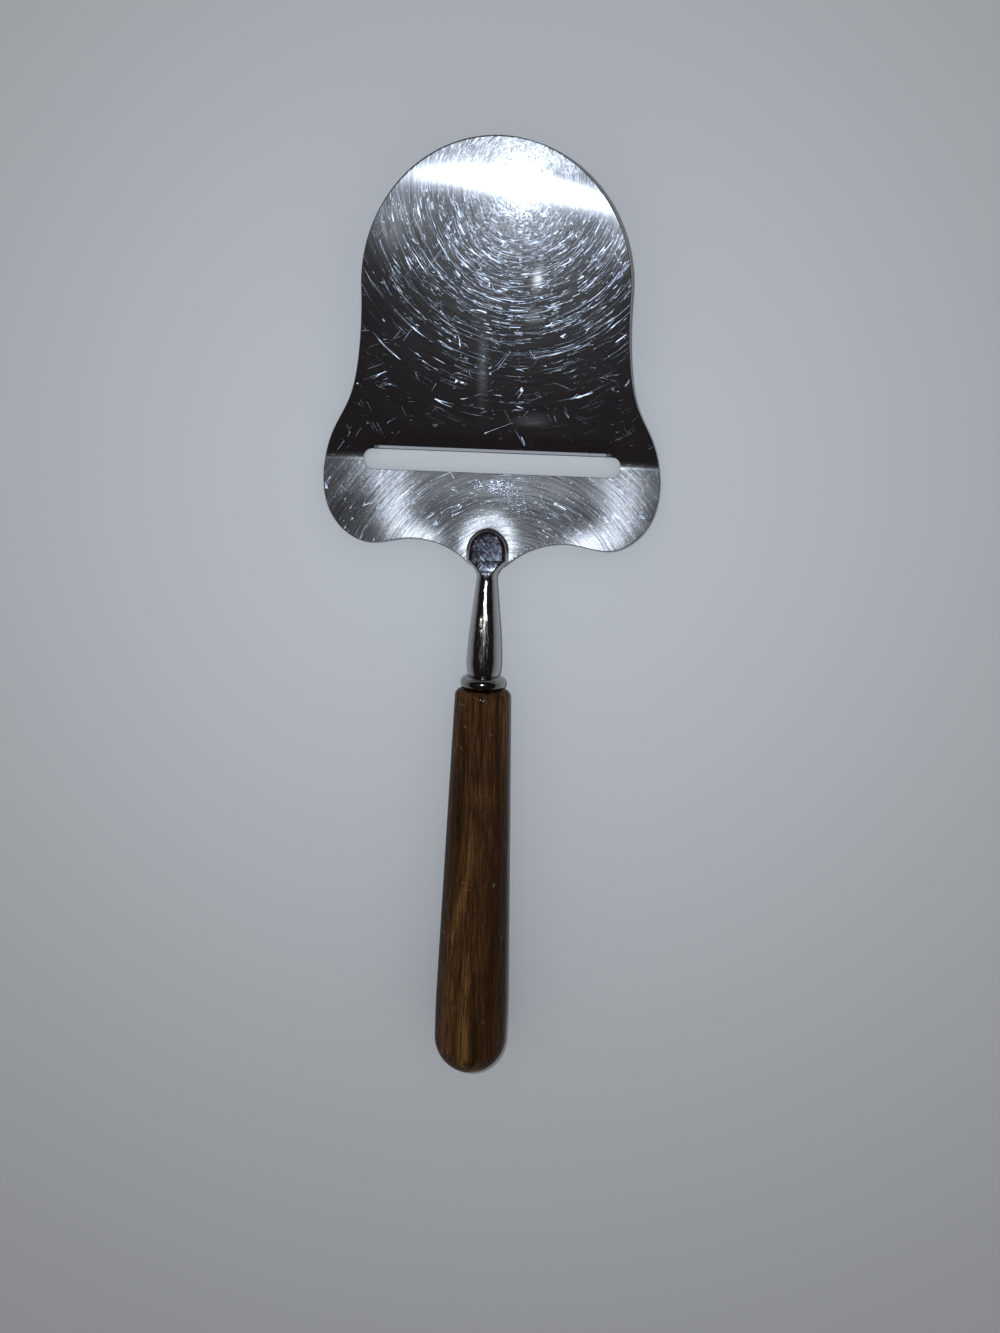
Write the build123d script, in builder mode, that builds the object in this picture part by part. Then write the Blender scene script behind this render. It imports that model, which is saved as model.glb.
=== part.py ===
from build123d import *
import os
from math import atan2, cos, radians, sin, tan

# A cheese slicer with a pressed steel blade, a welded steel neck and a turned wooden handle.
# It lies as on a table: +Y runs from the handle to the tip of the blade, +X across it, +Z up.
# The origin is under the middle of the whole tool, on the table. Lengths are in millimetres.

# Blade: lengths along the tool
bell_length = 63.6  # tip to the cutting edge
slot_gap = 4.6  # opening of the slot
ramp_length = 20.8  # back of the slot to the corner where the blade's edge meets the pad
lip_length = 4.0  # band that is pressed down in front of the cutting edge
lobe_length = 3.9  # from that corner forward to the lowest point of an ear
ear_height = 15.6  # lowest point of an ear to its widest point
arch_height = 1.3  # rise of the lower edge between ear and tongue
tongue_cover = 1.0  # part of the tongue that lies under the neck

# Blade: widths and curves
bell_radius = 29.4
ear_width = 78.6
lobe_spacing = 55.0
arch_spacing = 36.0
tongue_width = 9.0
slot_length = 59.7
slot_corner = 2.0
lip_blend = 3.0  # width over which the pressed lip runs out at each end of the slot
flare_shares = ((0.106, 0.344), (0.364, 0.581), (0.742, 0.748))
lobe_share = (0.203, 0.626)
crease_share = 0.46  # place of the crease across the slot, from the cutting edge back

# Blade: sheet and bends
sheet = 1.2
bend_radius = 3.0
crease_rise = 0.9  # height of the crease's sole above the cutting edge
bevel_width = 0.8
bevel_land = 0.15
bell_angle = 13.0
ramp_angle = 9.5
rim_break = 0.3
upright_share = 0.1  # a wall whose normal rises less than this stands upright
middle_share = 0.5

# Neck: pad, shaft and tang
pad_length = 8.3
pad_width = 9.8
pad_thickness = 3.2
pad_rim = 1.3
pad_shoulder = 0.6  # from the tongue's corner forward to the widest part of the pad
pad_nose_share = (0.88, 0.565)
neck_length = 26.3  # from the tongue's corner to the collar ring
neck_shaft_length = 22.9
neck_root_diameter = 4.7
neck_bulge_diameter = 8.2
neck_end_diameter = 7.25
neck_end_length = 3.4
neck_root_land = 1.5  # even stretch at the root, before the shaft widens
neck_bulge_land = 4.5  # even stretch in front of the thickest place
neck_blend_share = 0.95  # part of each even stretch that its blend into the cone takes
flare_width = 5.6
flare_height = 4.7
flare_corner = 2.2
flare_place_share = 0.5
tang_diameter = 5.0
tang_depth = 46.0  # length of the tang inside the handle
tang_chamfer = 0.8

# Collar ring
ring_thickness = 3.2
ring_diameter = 10.7
ring_clearance = 0.05

# Handle and its bore
handle_length = 99.6
handle_front_diameter = 13.1
handle_face_diameter = 9.6
handle_shoulder = 1.9
butt_diameter = 18.15
swell_length = 8.4  # straight stretch in front of the round end
swell_radius = 350.0
glue_film = 0.5
bore_spare = 2.0  # depth of the bore past the tang's end
drill_point_length = 1.6
axis_angle = 1.0  # the tool's axis falls by this angle towards the blade

overrun = 12.0  # how far a cutting tool runs past what it cuts

bell, ramp, lean = radians(bell_angle), radians(ramp_angle), radians(axis_angle)

# Places along the tool
butt_radius = butt_diameter / 2
rear_length = neck_length + ring_thickness + handle_length
total_length = bell_length + slot_gap + ramp_length + rear_length * cos(lean)
total_length += butt_radius * (1 - cos(lean))
tip_y = total_length / 2
lip_y = tip_y - bell_length
slot_back_y = lip_y - slot_gap
tongue_y = slot_back_y - ramp_length
lobe_y = tongue_y + lobe_length
ear_y = lobe_y + ear_height
arch_y = lobe_y + arch_height
tongue_end_y = tongue_y - tongue_cover
crease_y = lip_y - slot_gap * crease_share
shoulder_y = tip_y - bell_radius
lip_start_y = lip_y + lip_length


def bell_sole(y):
    """Height of the bell's lower face over the place y."""
    return crease_rise + (y - crease_y) * tan(bell)


def ramp_sole(y):
    """Height of the ramp's lower face over the place y."""
    return crease_rise + (crease_y - y) * tan(ramp)


# The handle rests on the arc where its taper turns into the swell. This sets the height of its axis.
corner_station = handle_length - butt_radius - swell_length
taper_rise = (butt_diameter - handle_front_diameter) / 2
taper_angle = atan2(taper_rise, corner_station - handle_shoulder)
arc_station = corner_station + swell_radius * tan(taper_angle / 2)
rest_height = swell_radius - (swell_radius - butt_radius) * cos(lean)
ring_front_y = tongue_y - neck_length * cos(lean)
ring_height = rest_height - (ring_thickness + arc_station) * sin(lean)

# Planes: the tool's axis runs along the local x of axis_plane, towards the butt
axis_direction = (0, -cos(lean), sin(lean))
axis_plane = Plane(origin=(0, ring_front_y, ring_height), x_dir=axis_direction, z_dir=(-1, 0, 0))
tool_axis = Axis((0, ring_front_y, ring_height), axis_direction)
ramp_top = ramp_sole(tongue_y) + sheet / cos(ramp)
ramp_plane = Plane(origin=(0, tongue_y, ramp_top), x_dir=(1, 0, 0), z_dir=(0, sin(ramp), cos(ramp)))

# Blade
with BuildPart() as blade:
    # The sheet, bent once along the crease
    with BuildSketch(Plane.YZ):
        with BuildLine():
            FilletPolyline(
                (tongue_end_y - overrun, ramp_sole(tongue_end_y - overrun)),
                (crease_y, crease_rise),
                (tip_y + overrun, bell_sole(tip_y + overrun)),
                radius=bend_radius + sheet,
            )
            offset(amount=sheet, side=Side.LEFT)
        make_face()
    extrude(amount=ear_width / 2 + overrun, both=True)

    # The plan outline: bell, flare, ear, arch and tongue
    with BuildSketch(Plane.XY.offset(-overrun)):
        with BuildLine():
            bell_arc = CenterArc((0, shoulder_y), bell_radius, 0, 90)
            flare_x = ear_width / 2 - bell_radius
            flare_y = shoulder_y - ear_y
            flare_points = [
                (bell_radius + share_x * flare_x, shoulder_y - share_y * flare_y)
                for share_x, share_y in flare_shares
            ]
            flare = Spline(
                bell_arc @ 0, *flare_points, (ear_width / 2, ear_y), tangents=((0, -1), (0, -1))
            )
            lobe_point = (
                ear_width / 2 - lobe_share[0] * (ear_width - lobe_spacing) / 2,
                ear_y - lobe_share[1] * ear_height,
            )
            lobe = Spline(
                flare @ 1, lobe_point, (lobe_spacing / 2, lobe_y), tangents=((0, -1), (-1, 0))
            )
            arch = Spline(lobe @ 1, (arch_spacing / 2, arch_y), tangents=((-1, 0), (-1, 0)))
            bite = TangentArc(arch @ 1, (tongue_width / 2, tongue_y), tangent=(-1, 0))
            Spline(bite @ 1, (0, tongue_end_y), tangents=(bite % 1, (-1, 0)))
            mirror(about=Plane.YZ)
        make_face()
    extrude(amount=tip_y + overrun, mode=Mode.INTERSECT)

    # The rim is broken all round: the edges of the upright walls, but not their own seams
    walls = blade.faces().filter_by(lambda face: abs(face.normal_at().Z) < upright_share)
    rims = walls.edges().filter_by(lambda edge: abs((edge % middle_share).Z) < upright_share)
    chamfer(rims, rim_break)

    # The lip is pressed down between the ends of the slot and runs out towards the ears
    press_start_y = crease_y + bend_radius * tan((bell + ramp) / 2)
    lip_angle = atan2(bell_sole(lip_start_y), lip_length)
    normal_bell = (-sin(bell) * sheet, cos(bell) * sheet)
    normal_lip = (-sin(lip_angle) * sheet, cos(lip_angle) * sheet)
    lip_back = press_start_y - lip_y
    start_point = (lip_start_y, bell_sole(lip_start_y))
    flat_point = (press_start_y, bell_sole(press_start_y))
    pressed_point = (press_start_y, lip_back * tan(lip_angle))
    start_top = (start_point[0] + normal_bell[0], start_point[1] + normal_bell[1])
    flat_top = (flat_point[0] + normal_bell[0], flat_point[1] + normal_bell[1])
    pressed_top = (pressed_point[0] + normal_lip[0], pressed_point[1] + normal_lip[1])
    with BuildSketch(Plane.YZ):
        Polygon(start_point, start_top, flat_top, flat_point, align=None)
    extrude(amount=slot_length / 2, both=True, mode=Mode.SUBTRACT)
    with BuildSketch(Plane.YZ):
        Polygon(start_point, start_top, pressed_top, pressed_point, align=None)
    extrude(amount=slot_length / 2 - lip_blend, both=True)
    for side in (-1, 1):
        with BuildSketch(Plane.YZ.offset(side * slot_length / 2)):
            Polygon(start_point, start_top, flat_top, flat_point, align=None)
        with BuildSketch(Plane.YZ.offset(side * (slot_length / 2 - lip_blend))):
            Polygon(start_point, start_top, pressed_top, pressed_point, align=None)
        loft(ruled=True)

    # The slot with its rounded corners
    with BuildSketch(Plane.XY.offset(-overrun)):
        with Locations((0, lip_y - slot_gap / 2)):
            RectangleRounded(slot_length, slot_gap, slot_corner)
    extrude(amount=tip_y, mode=Mode.SUBTRACT)

    # The ground bevel that leaves the cutting edge at the sole
    bevel_top = bevel_width * tan(lip_angle) + sheet / cos(lip_angle)
    with BuildSketch(Plane.YZ):
        Polygon(
            (lip_y, bevel_land),
            (lip_y + bevel_width, bevel_top),
            (lip_y + bevel_width, bevel_top + sheet),
            (lip_y - slot_gap / 2, bevel_top + sheet),
            (lip_y - slot_gap / 2, bevel_land),
            align=None,
        )
    extrude(amount=slot_length / 2 - slot_corner, both=True, mode=Mode.SUBTRACT)
blade.part.label = "blade"

# Neck
nose_length = pad_length - pad_shoulder
root_radius, bulge_radius = neck_root_diameter / 2, neck_bulge_diameter / 2
tang_radius = tang_diameter / 2
bulge_station = -neck_end_length
root_corner = -neck_shaft_length + neck_root_land
bulge_corner = bulge_station - neck_bulge_land
shaft_rise = atan2(bulge_radius - root_radius, bulge_corner - root_corner)
blend_radii = [
    land * neck_blend_share / tan(shaft_rise / 2) for land in (neck_root_land, neck_bulge_land)
]
tang_end = ring_thickness + tang_depth
root_place = axis_plane.from_local_coords((-neck_shaft_length, 0, 0))
pad_place = ramp_plane.from_local_coords((0, pad_shoulder, pad_thickness / 2))
flare_place = root_place + (pad_place - root_place) * flare_place_share
with BuildPart() as neck:
    # The pad's flat nose lies on the ramp
    with BuildSketch(ramp_plane):
        with BuildLine():
            nose_side = Spline(
                (pad_width / 2, pad_shoulder),
                (
                    pad_nose_share[0] * pad_width / 2,
                    pad_shoulder + pad_nose_share[1] * nose_length,
                ),
                (0, pad_length),
                tangents=((0, 1), (-1, 0)),
            )
            Line((0, pad_shoulder), nose_side @ 0)
            mirror(about=Plane.YZ)
        make_face()
    extrude(amount=pad_thickness)
    pad_top = neck.faces().sort_by(Axis(ramp_plane.origin, ramp_plane.z_dir))[-1]
    pad_edges = pad_top.edges().sort_by(Axis(ramp_plane.origin, ramp_plane.y_dir))[1:]
    fillet(pad_edges, pad_rim)

    # The shoulders draw in from the pad's oblong section to the round shaft
    with BuildSketch(Plane(origin=pad_place, x_dir=(1, 0, 0), z_dir=ramp_plane.y_dir)):
        RectangleRounded(pad_width, pad_thickness, pad_rim)
    with BuildSketch(Plane(origin=flare_place, x_dir=(1, 0, 0), z_dir=(0, 1, 0))):
        RectangleRounded(flare_width, flare_height, flare_corner)
    with BuildSketch(Plane(origin=root_place, x_dir=(1, 0, 0), z_dir=-tool_axis.direction)):
        Circle(root_radius)
    loft()

    # Shaft and tang, turned in one with it
    with BuildSketch(axis_plane):
        with BuildLine():
            shaft = FilletPolyline(
                (-neck_shaft_length, root_radius),
                (root_corner, root_radius),
                (bulge_corner, bulge_radius),
                (bulge_station, bulge_radius),
                radius=blend_radii,
            )
            shaft_end = TangentArc(shaft @ 1, (0, neck_end_diameter / 2), tangent=(1, 0))
            Polyline(
                shaft_end @ 1,
                (0, tang_radius),
                (tang_end - tang_chamfer, tang_radius),
                (tang_end, tang_radius - tang_chamfer),
                (tang_end, 0),
                (-neck_shaft_length, 0),
                shaft @ 0,
            )
        make_face()
    revolve(axis=tool_axis)

    # The ground facet on top of the pad runs out in a point on the shaft
    with BuildSketch(ramp_plane.offset(pad_thickness)):
        with Locations((0, pad_shoulder - neck_length / 2)):
            Rectangle(pad_width + overrun, neck_length)
    extrude(amount=overrun, mode=Mode.SUBTRACT)

    # The seat that takes the blade's tongue
    with BuildSketch(ramp_plane):
        with Locations((0, (pad_length + overrun - tongue_cover) / 2)):
            Rectangle(pad_width + overrun, pad_length + overrun + tongue_cover)
    extrude(amount=-overrun, mode=Mode.SUBTRACT)
neck.part.label = "neck"

# Collar ring: its rim is fully round
rim_radius = ring_thickness / 2
ring_bore_radius = tang_radius + ring_clearance
with BuildPart() as collar_ring:
    with BuildSketch(axis_plane):
        with BuildLine():
            rim = CenterArc((rim_radius, ring_diameter / 2 - rim_radius), rim_radius, 0, 180)
            Polyline(
                rim @ 1, (0, ring_bore_radius), (ring_thickness, ring_bore_radius), rim @ 0
            )
        make_face()
    revolve(axis=tool_axis)
collar_ring.part.label = "collar_ring"

# Handle, on a plane whose local x starts at its front face
bore_radius = tang_radius + glue_film
bore_end = tang_depth + bore_spare
handle_plane = Plane(
    origin=axis_plane.from_local_coords((ring_thickness, 0, 0)),
    x_dir=axis_plane.x_dir,
    z_dir=axis_plane.z_dir,
)
with BuildPart() as handle:
    with BuildSketch(handle_plane):
        with BuildLine():
            shoulder_arc = TangentArc(
                (0, handle_face_diameter / 2),
                (handle_shoulder, handle_front_diameter / 2),
                tangent=(0, 1),
            )
            body = FilletPolyline(
                shoulder_arc @ 1,
                (corner_station, butt_radius),
                (handle_length - butt_radius, butt_radius),
                radius=swell_radius,
            )
            butt = CenterArc((handle_length - butt_radius, 0), butt_radius, 0, 90)
            Polyline(butt @ 0, (0, 0), shoulder_arc @ 0)
        make_face()
    revolve(axis=tool_axis)
    with BuildSketch(handle_plane):
        Polygon(
            (0, 0),
            (0, bore_radius),
            (bore_end, bore_radius),
            (bore_end + drill_point_length, 0),
            align=None,
        )
    revolve(axis=tool_axis, mode=Mode.SUBTRACT)
handle.part.label = "handle"

# The cured glue fills the bore around the tang
with BuildPart() as tang_adhesive:
    with BuildSketch(handle_plane):
        Polygon(
            (0, tang_radius),
            (0, bore_radius),
            (bore_end, bore_radius),
            (bore_end + drill_point_length, 0),
            (tang_depth, 0),
            (tang_depth, tang_radius - tang_chamfer),
            (tang_depth - tang_chamfer, tang_radius),
            align=None,
        )
    revolve(axis=tool_axis)
tang_adhesive.part.label = "tang_adhesive"

os.makedirs("parts", exist_ok=True)
for piece in (blade, neck, collar_ring, handle, tang_adhesive):
    export_step(piece.part, f"parts/{piece.part.label}.step")
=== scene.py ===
"""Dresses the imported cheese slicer: polished blade, forged neck, steel bead and lacquered handle.

Lengths are in metres, in the model's own frame: +Y runs from the handle to the blade's tip,
+X across the blade and +Z up from the surface that the tool lies on.
"""

import logging
from abc import ABC, abstractmethod
from dataclasses import dataclass, field
from enum import Enum
from math import atan2, cos, radians, sin, tan
from typing import ClassVar, Protocol

import bmesh
import bpy
import numpy as np
from mathutils import Matrix, Vector


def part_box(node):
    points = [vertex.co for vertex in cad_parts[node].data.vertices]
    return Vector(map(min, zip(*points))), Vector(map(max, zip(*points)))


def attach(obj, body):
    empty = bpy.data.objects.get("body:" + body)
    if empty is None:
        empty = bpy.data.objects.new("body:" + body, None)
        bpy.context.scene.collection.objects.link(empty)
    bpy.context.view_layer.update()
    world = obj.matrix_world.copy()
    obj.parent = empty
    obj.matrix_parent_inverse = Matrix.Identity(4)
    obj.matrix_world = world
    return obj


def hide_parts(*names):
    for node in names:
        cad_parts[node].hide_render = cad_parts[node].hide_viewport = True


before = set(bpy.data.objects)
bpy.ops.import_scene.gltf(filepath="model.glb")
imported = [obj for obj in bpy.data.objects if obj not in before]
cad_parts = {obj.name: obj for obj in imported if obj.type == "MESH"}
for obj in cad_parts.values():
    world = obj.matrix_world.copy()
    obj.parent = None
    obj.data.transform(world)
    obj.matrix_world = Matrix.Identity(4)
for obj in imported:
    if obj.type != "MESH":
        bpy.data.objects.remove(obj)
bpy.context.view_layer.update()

MM = 0.001
WELD = 0.0002 * MM
NO_LENGTH = 1e-9
MOST_NOISE = (0.3, 0.7)
Points = np.ndarray
Socket = bpy.types.NodeSocket
Colour = tuple[float, float, float, float]
log = logging.getLogger("slicer")


class Slot(Enum):
    """The record's material slots."""

    BLADE = "blade_steel"
    NECK = "neck_steel"
    RING = "ring_steel"
    HANDLE = "handle_wood"
    GLUE = "adhesive"


def smooth(share: Points) -> Points:
    """Eases from 0 to 1: the cubic 3s² - 2s³ of the share s, held between 0 and 1.

    Args:
        share: Values that rise from 0 to 1 over the stretch to ease.

    Returns:
        The eased values.
    """
    held = np.clip(share, 0.0, 1.0)
    return held * held * (3.0 - 2.0 * held)


def hill(x: Points, y: Points, centre: tuple[float, float], reach: tuple[float, float]) -> Points:
    """A round hill of height 1: the Gaussian of the offsets from its centre over its reaches.

    Args:
        x: Places across.
        y: Places along.
        centre: Middle of the hill.
        reach: Reach across and along at which it has fallen to 1/e.

    Returns:
        The height of the hill at each place.
    """
    return np.exp(-(((x - centre[0]) / reach[0]) ** 2) - ((y - centre[1]) / reach[1]) ** 2)


def hills(x: Points, y: Points, tops: tuple) -> Points:
    """The sum of several hills, each given by its middle, its reach and its height."""
    return sum(height * hill(x, y, middle, reach) for middle, reach, height in tops)


def trail(x: Points, y: Points, knots: tuple, widths: tuple[float, float]) -> Points:
    """A soft band along a line of knots, wider towards its end.

    Args:
        x: Places across.
        y: Places along.
        knots: Corners of the line.
        widths: Reach of the band at the line's first and last corner.

    Returns:
        The Gaussian of the distance from the line over the band's reach.
    """
    corners = np.array(knots)
    run = np.concatenate([[0.0], np.cumsum(np.linalg.norm(np.diff(corners, axis=0), axis=1))])
    best = np.zeros_like(x)
    for k in range(len(corners) - 1):
        way = corners[k + 1] - corners[k]
        length = np.linalg.norm(way)
        share = ((x - corners[k, 0]) * way[0] + (y - corners[k, 1]) * way[1]) / length**2
        share = np.clip(share, 0.0, 1.0)
        gap = np.hypot(x - corners[k, 0] - share * way[0], y - corners[k, 1] - share * way[1])
        reach = np.interp(run[k] + share * length, (0.0, run[-1]), widths)
        best = np.maximum(best, np.exp(-(gap / reach) ** 2))
    return best


def resample(path: Points, shares: Points) -> Points:
    """Points at the given shares of a path's length, by linear interpolation over arc length.

    Args:
        path: Points of the path, one row each.
        shares: Shares of the whole length, from 0 to 1.

    Returns:
        One row for each share.
    """
    steps = np.linalg.norm(np.diff(path, axis=0), axis=1)
    run = np.concatenate([[0.0], np.cumsum(steps)])
    run /= run[-1]
    return np.stack([np.interp(shares, run, path[:, k]) for k in range(path.shape[1])], axis=1)


def clamped_spline(knots: list[tuple[float, float]], start: tuple[float, float],
                   end: tuple[float, float], count: int) -> Points:
    """A cubic through knots with set end directions, over chord length.

    Between two knots it is the Hermite cubic of their places and slopes. The inner slopes solve
    the three-term equations that make the curvature continuous, and the end slopes are given.

    Args:
        knots: Points that the curve passes through.
        start: Direction at the first knot, of length 1.
        end: Direction at the last knot, of length 1.
        count: Number of points wanted.

    Returns:
        The points of the curve, one row each.
    """
    places = np.array(knots, float)
    gaps = np.linalg.norm(np.diff(places, axis=0), axis=1)
    run = np.concatenate([[0.0], np.cumsum(gaps)])
    size = len(places)
    system, target = np.eye(size), np.zeros((size, 2))
    target[0], target[-1] = start, end
    for k in range(1, size - 1):
        before, after = gaps[k - 1], gaps[k]
        system[k, k - 1:k + 2] = after, 2.0 * (before + after), before
        rise_before = (places[k] - places[k - 1]) / before
        rise_after = (places[k + 1] - places[k]) / after
        target[k] = 3.0 * (after * rise_before + before * rise_after)
    slopes = np.linalg.solve(system, target)
    at = np.linspace(0.0, run[-1], count)
    piece = np.clip(np.searchsorted(run, at, side="right") - 1, 0, size - 2)
    span = gaps[piece][:, None]
    t = (at - run[piece])[:, None] / span
    return ((2 * t**3 - 3 * t**2 + 1) * places[piece] + (t**3 - 2 * t**2 + t) * span * slopes[piece]
            + (3 * t**2 - 2 * t**3) * places[piece + 1] + (t**3 - t**2) * span * slopes[piece + 1])


def outward(loop: Points) -> Points:
    """Unit normals of a closed plan loop, pointing away from its middle.

    The normal is the central difference of the loop's points turned by a right angle.

    Args:
        loop: Points of the loop, one row each, without a repeated end.

    Returns:
        One normal for each point.
    """
    along = np.roll(loop, -1, axis=0) - np.roll(loop, 1, axis=0)
    turned = np.stack([along[:, 1], -along[:, 0]], axis=1)
    turned /= np.linalg.norm(turned, axis=1, keepdims=True)
    area = np.sum(loop[:, 0] * np.roll(loop[:, 1], -1) - loop[:, 1] * np.roll(loop[:, 0], -1))
    return turned if area > 0 else -turned


def unit(ways: Points) -> Points:
    """Directions of length 1 along the given rows; a row of no length stays as it is."""
    return ways / (np.linalg.norm(ways, axis=1, keepdims=True) + NO_LENGTH)


def quads(rows: int, columns: int, first: int, close_rows: bool, close_columns: bool) -> Points:
    """Faces of a grid whose points are numbered row by row.

    Args:
        rows: Number of rows.
        columns: Points in a row.
        first: Number of the first point.
        close_rows: Whether the last row joins the first.
        close_columns: Whether each row's last point joins its first.

    Returns:
        One face of four point numbers in each row.
    """
    i = np.arange(rows if close_rows else rows - 1)[:, None]
    j = np.arange(columns if close_columns else columns - 1)[None, :]
    down, right = (i + 1) % rows, (j + 1) % columns
    corners = [i * columns + j, down * columns + j, down * columns + right, i * columns + right]
    return first + np.stack(np.broadcast_arrays(*corners), axis=-1).reshape(-1, 4)


def enter(name: str, data: bpy.types.ID) -> bpy.types.Object:
    """Makes an object of a mesh, a light or a camera, and links it into the scene.

    Args:
        name: Name of the object.
        data: What the object shows.

    Returns:
        The new object, at the origin.
    """
    new = bpy.data.objects.new(name, data)
    bpy.context.scene.collection.objects.link(new)
    return new


class Patchwork:
    """Grids of points that are sewn into one closed mesh."""

    def __init__(self) -> None:
        """Starts with no grid."""
        self.points: list[Points] = []
        self.faces: list[Points] = []
        self.count = 0

    def add(self, grid: Points, close_rows: bool = False, close_columns: bool = False) -> None:
        """Adds a grid of points.

        Args:
            grid: Places, as rows by columns by three.
            close_rows: Whether the last row joins the first.
            close_columns: Whether each row's last point joins its first.
        """
        rows, columns = grid.shape[:2]
        self.faces.append(quads(rows, columns, self.count, close_rows, close_columns))
        self.points.append(grid.reshape(-1, 3))
        self.count += rows * columns

    def sew(self, name: str) -> bpy.types.Object:
        """Merges points that meet, turns the faces outwards and makes the piece.

        Args:
            name: Name of the piece.

        Returns:
            The new object, at the origin.
        """
        mesh = bpy.data.meshes.new(name)
        mesh.from_pydata(np.concatenate(self.points).tolist(), [],
                         np.concatenate(self.faces).tolist())
        shape = bmesh.new()
        shape.from_mesh(mesh)
        bmesh.ops.remove_doubles(shape, verts=shape.verts, dist=WELD)
        bmesh.ops.recalc_face_normals(shape, faces=shape.faces)
        shape.to_mesh(mesh)
        shape.free()
        mesh.polygons.foreach_set("use_smooth", np.ones(len(mesh.polygons), bool))
        return enter(name, mesh)


def places(piece: bpy.types.Object) -> Points:
    """The places of a piece's points.

    Args:
        piece: The piece.

    Returns:
        One row for each point.
    """
    flat = np.empty(len(piece.data.vertices) * 3, np.float32)
    piece.data.vertices.foreach_get("co", flat)
    return flat.reshape(-1, 3).astype(float)


def note(piece: bpy.types.Object, name: str, values: Points) -> None:
    """Keeps one number or one vector for each point of a piece, for its finish to read.

    Args:
        piece: The piece.
        name: Name of the attribute.
        values: One value, or one row of three, for each point.
    """
    if values.ndim == 1:
        layer = piece.data.attributes.new(name, "FLOAT", "POINT")
        layer.data.foreach_set("value", values.astype(np.float32))
    else:
        layer = piece.data.attributes.new(name, "FLOAT_VECTOR", "POINT")
        layer.data.foreach_set("vector", values.astype(np.float32).ravel())


def place_piece(piece: bpy.types.Object, node: str) -> None:
    """Seats a piece on the tool's one body and lets it stand for its CAD node.

    Args:
        piece: The new piece.
        node: The CAD node that it replaces.
    """
    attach(piece, "root")
    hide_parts(node)
    log.info("%s: %d faces", piece.name, len(piece.data.polygons))


class Finish(Protocol):
    """Whatever makes the material of a piece."""

    def make(self) -> bpy.types.Material:
        """Builds the material."""


class SeatedPiece(ABC):
    """A piece that is built, finished and seated in place of one CAD node."""

    node: ClassVar[str]
    slot: ClassVar[Slot]
    finish: Finish

    @abstractmethod
    def build(self) -> bpy.types.Object:
        """Makes the piece with its mesh."""

    def dress(self) -> None:
        """Makes the piece, gives it its finish and seats it."""
        piece = self.build()
        piece.data.materials.append(self.finish.make())
        place_piece(piece, self.node)


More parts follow.
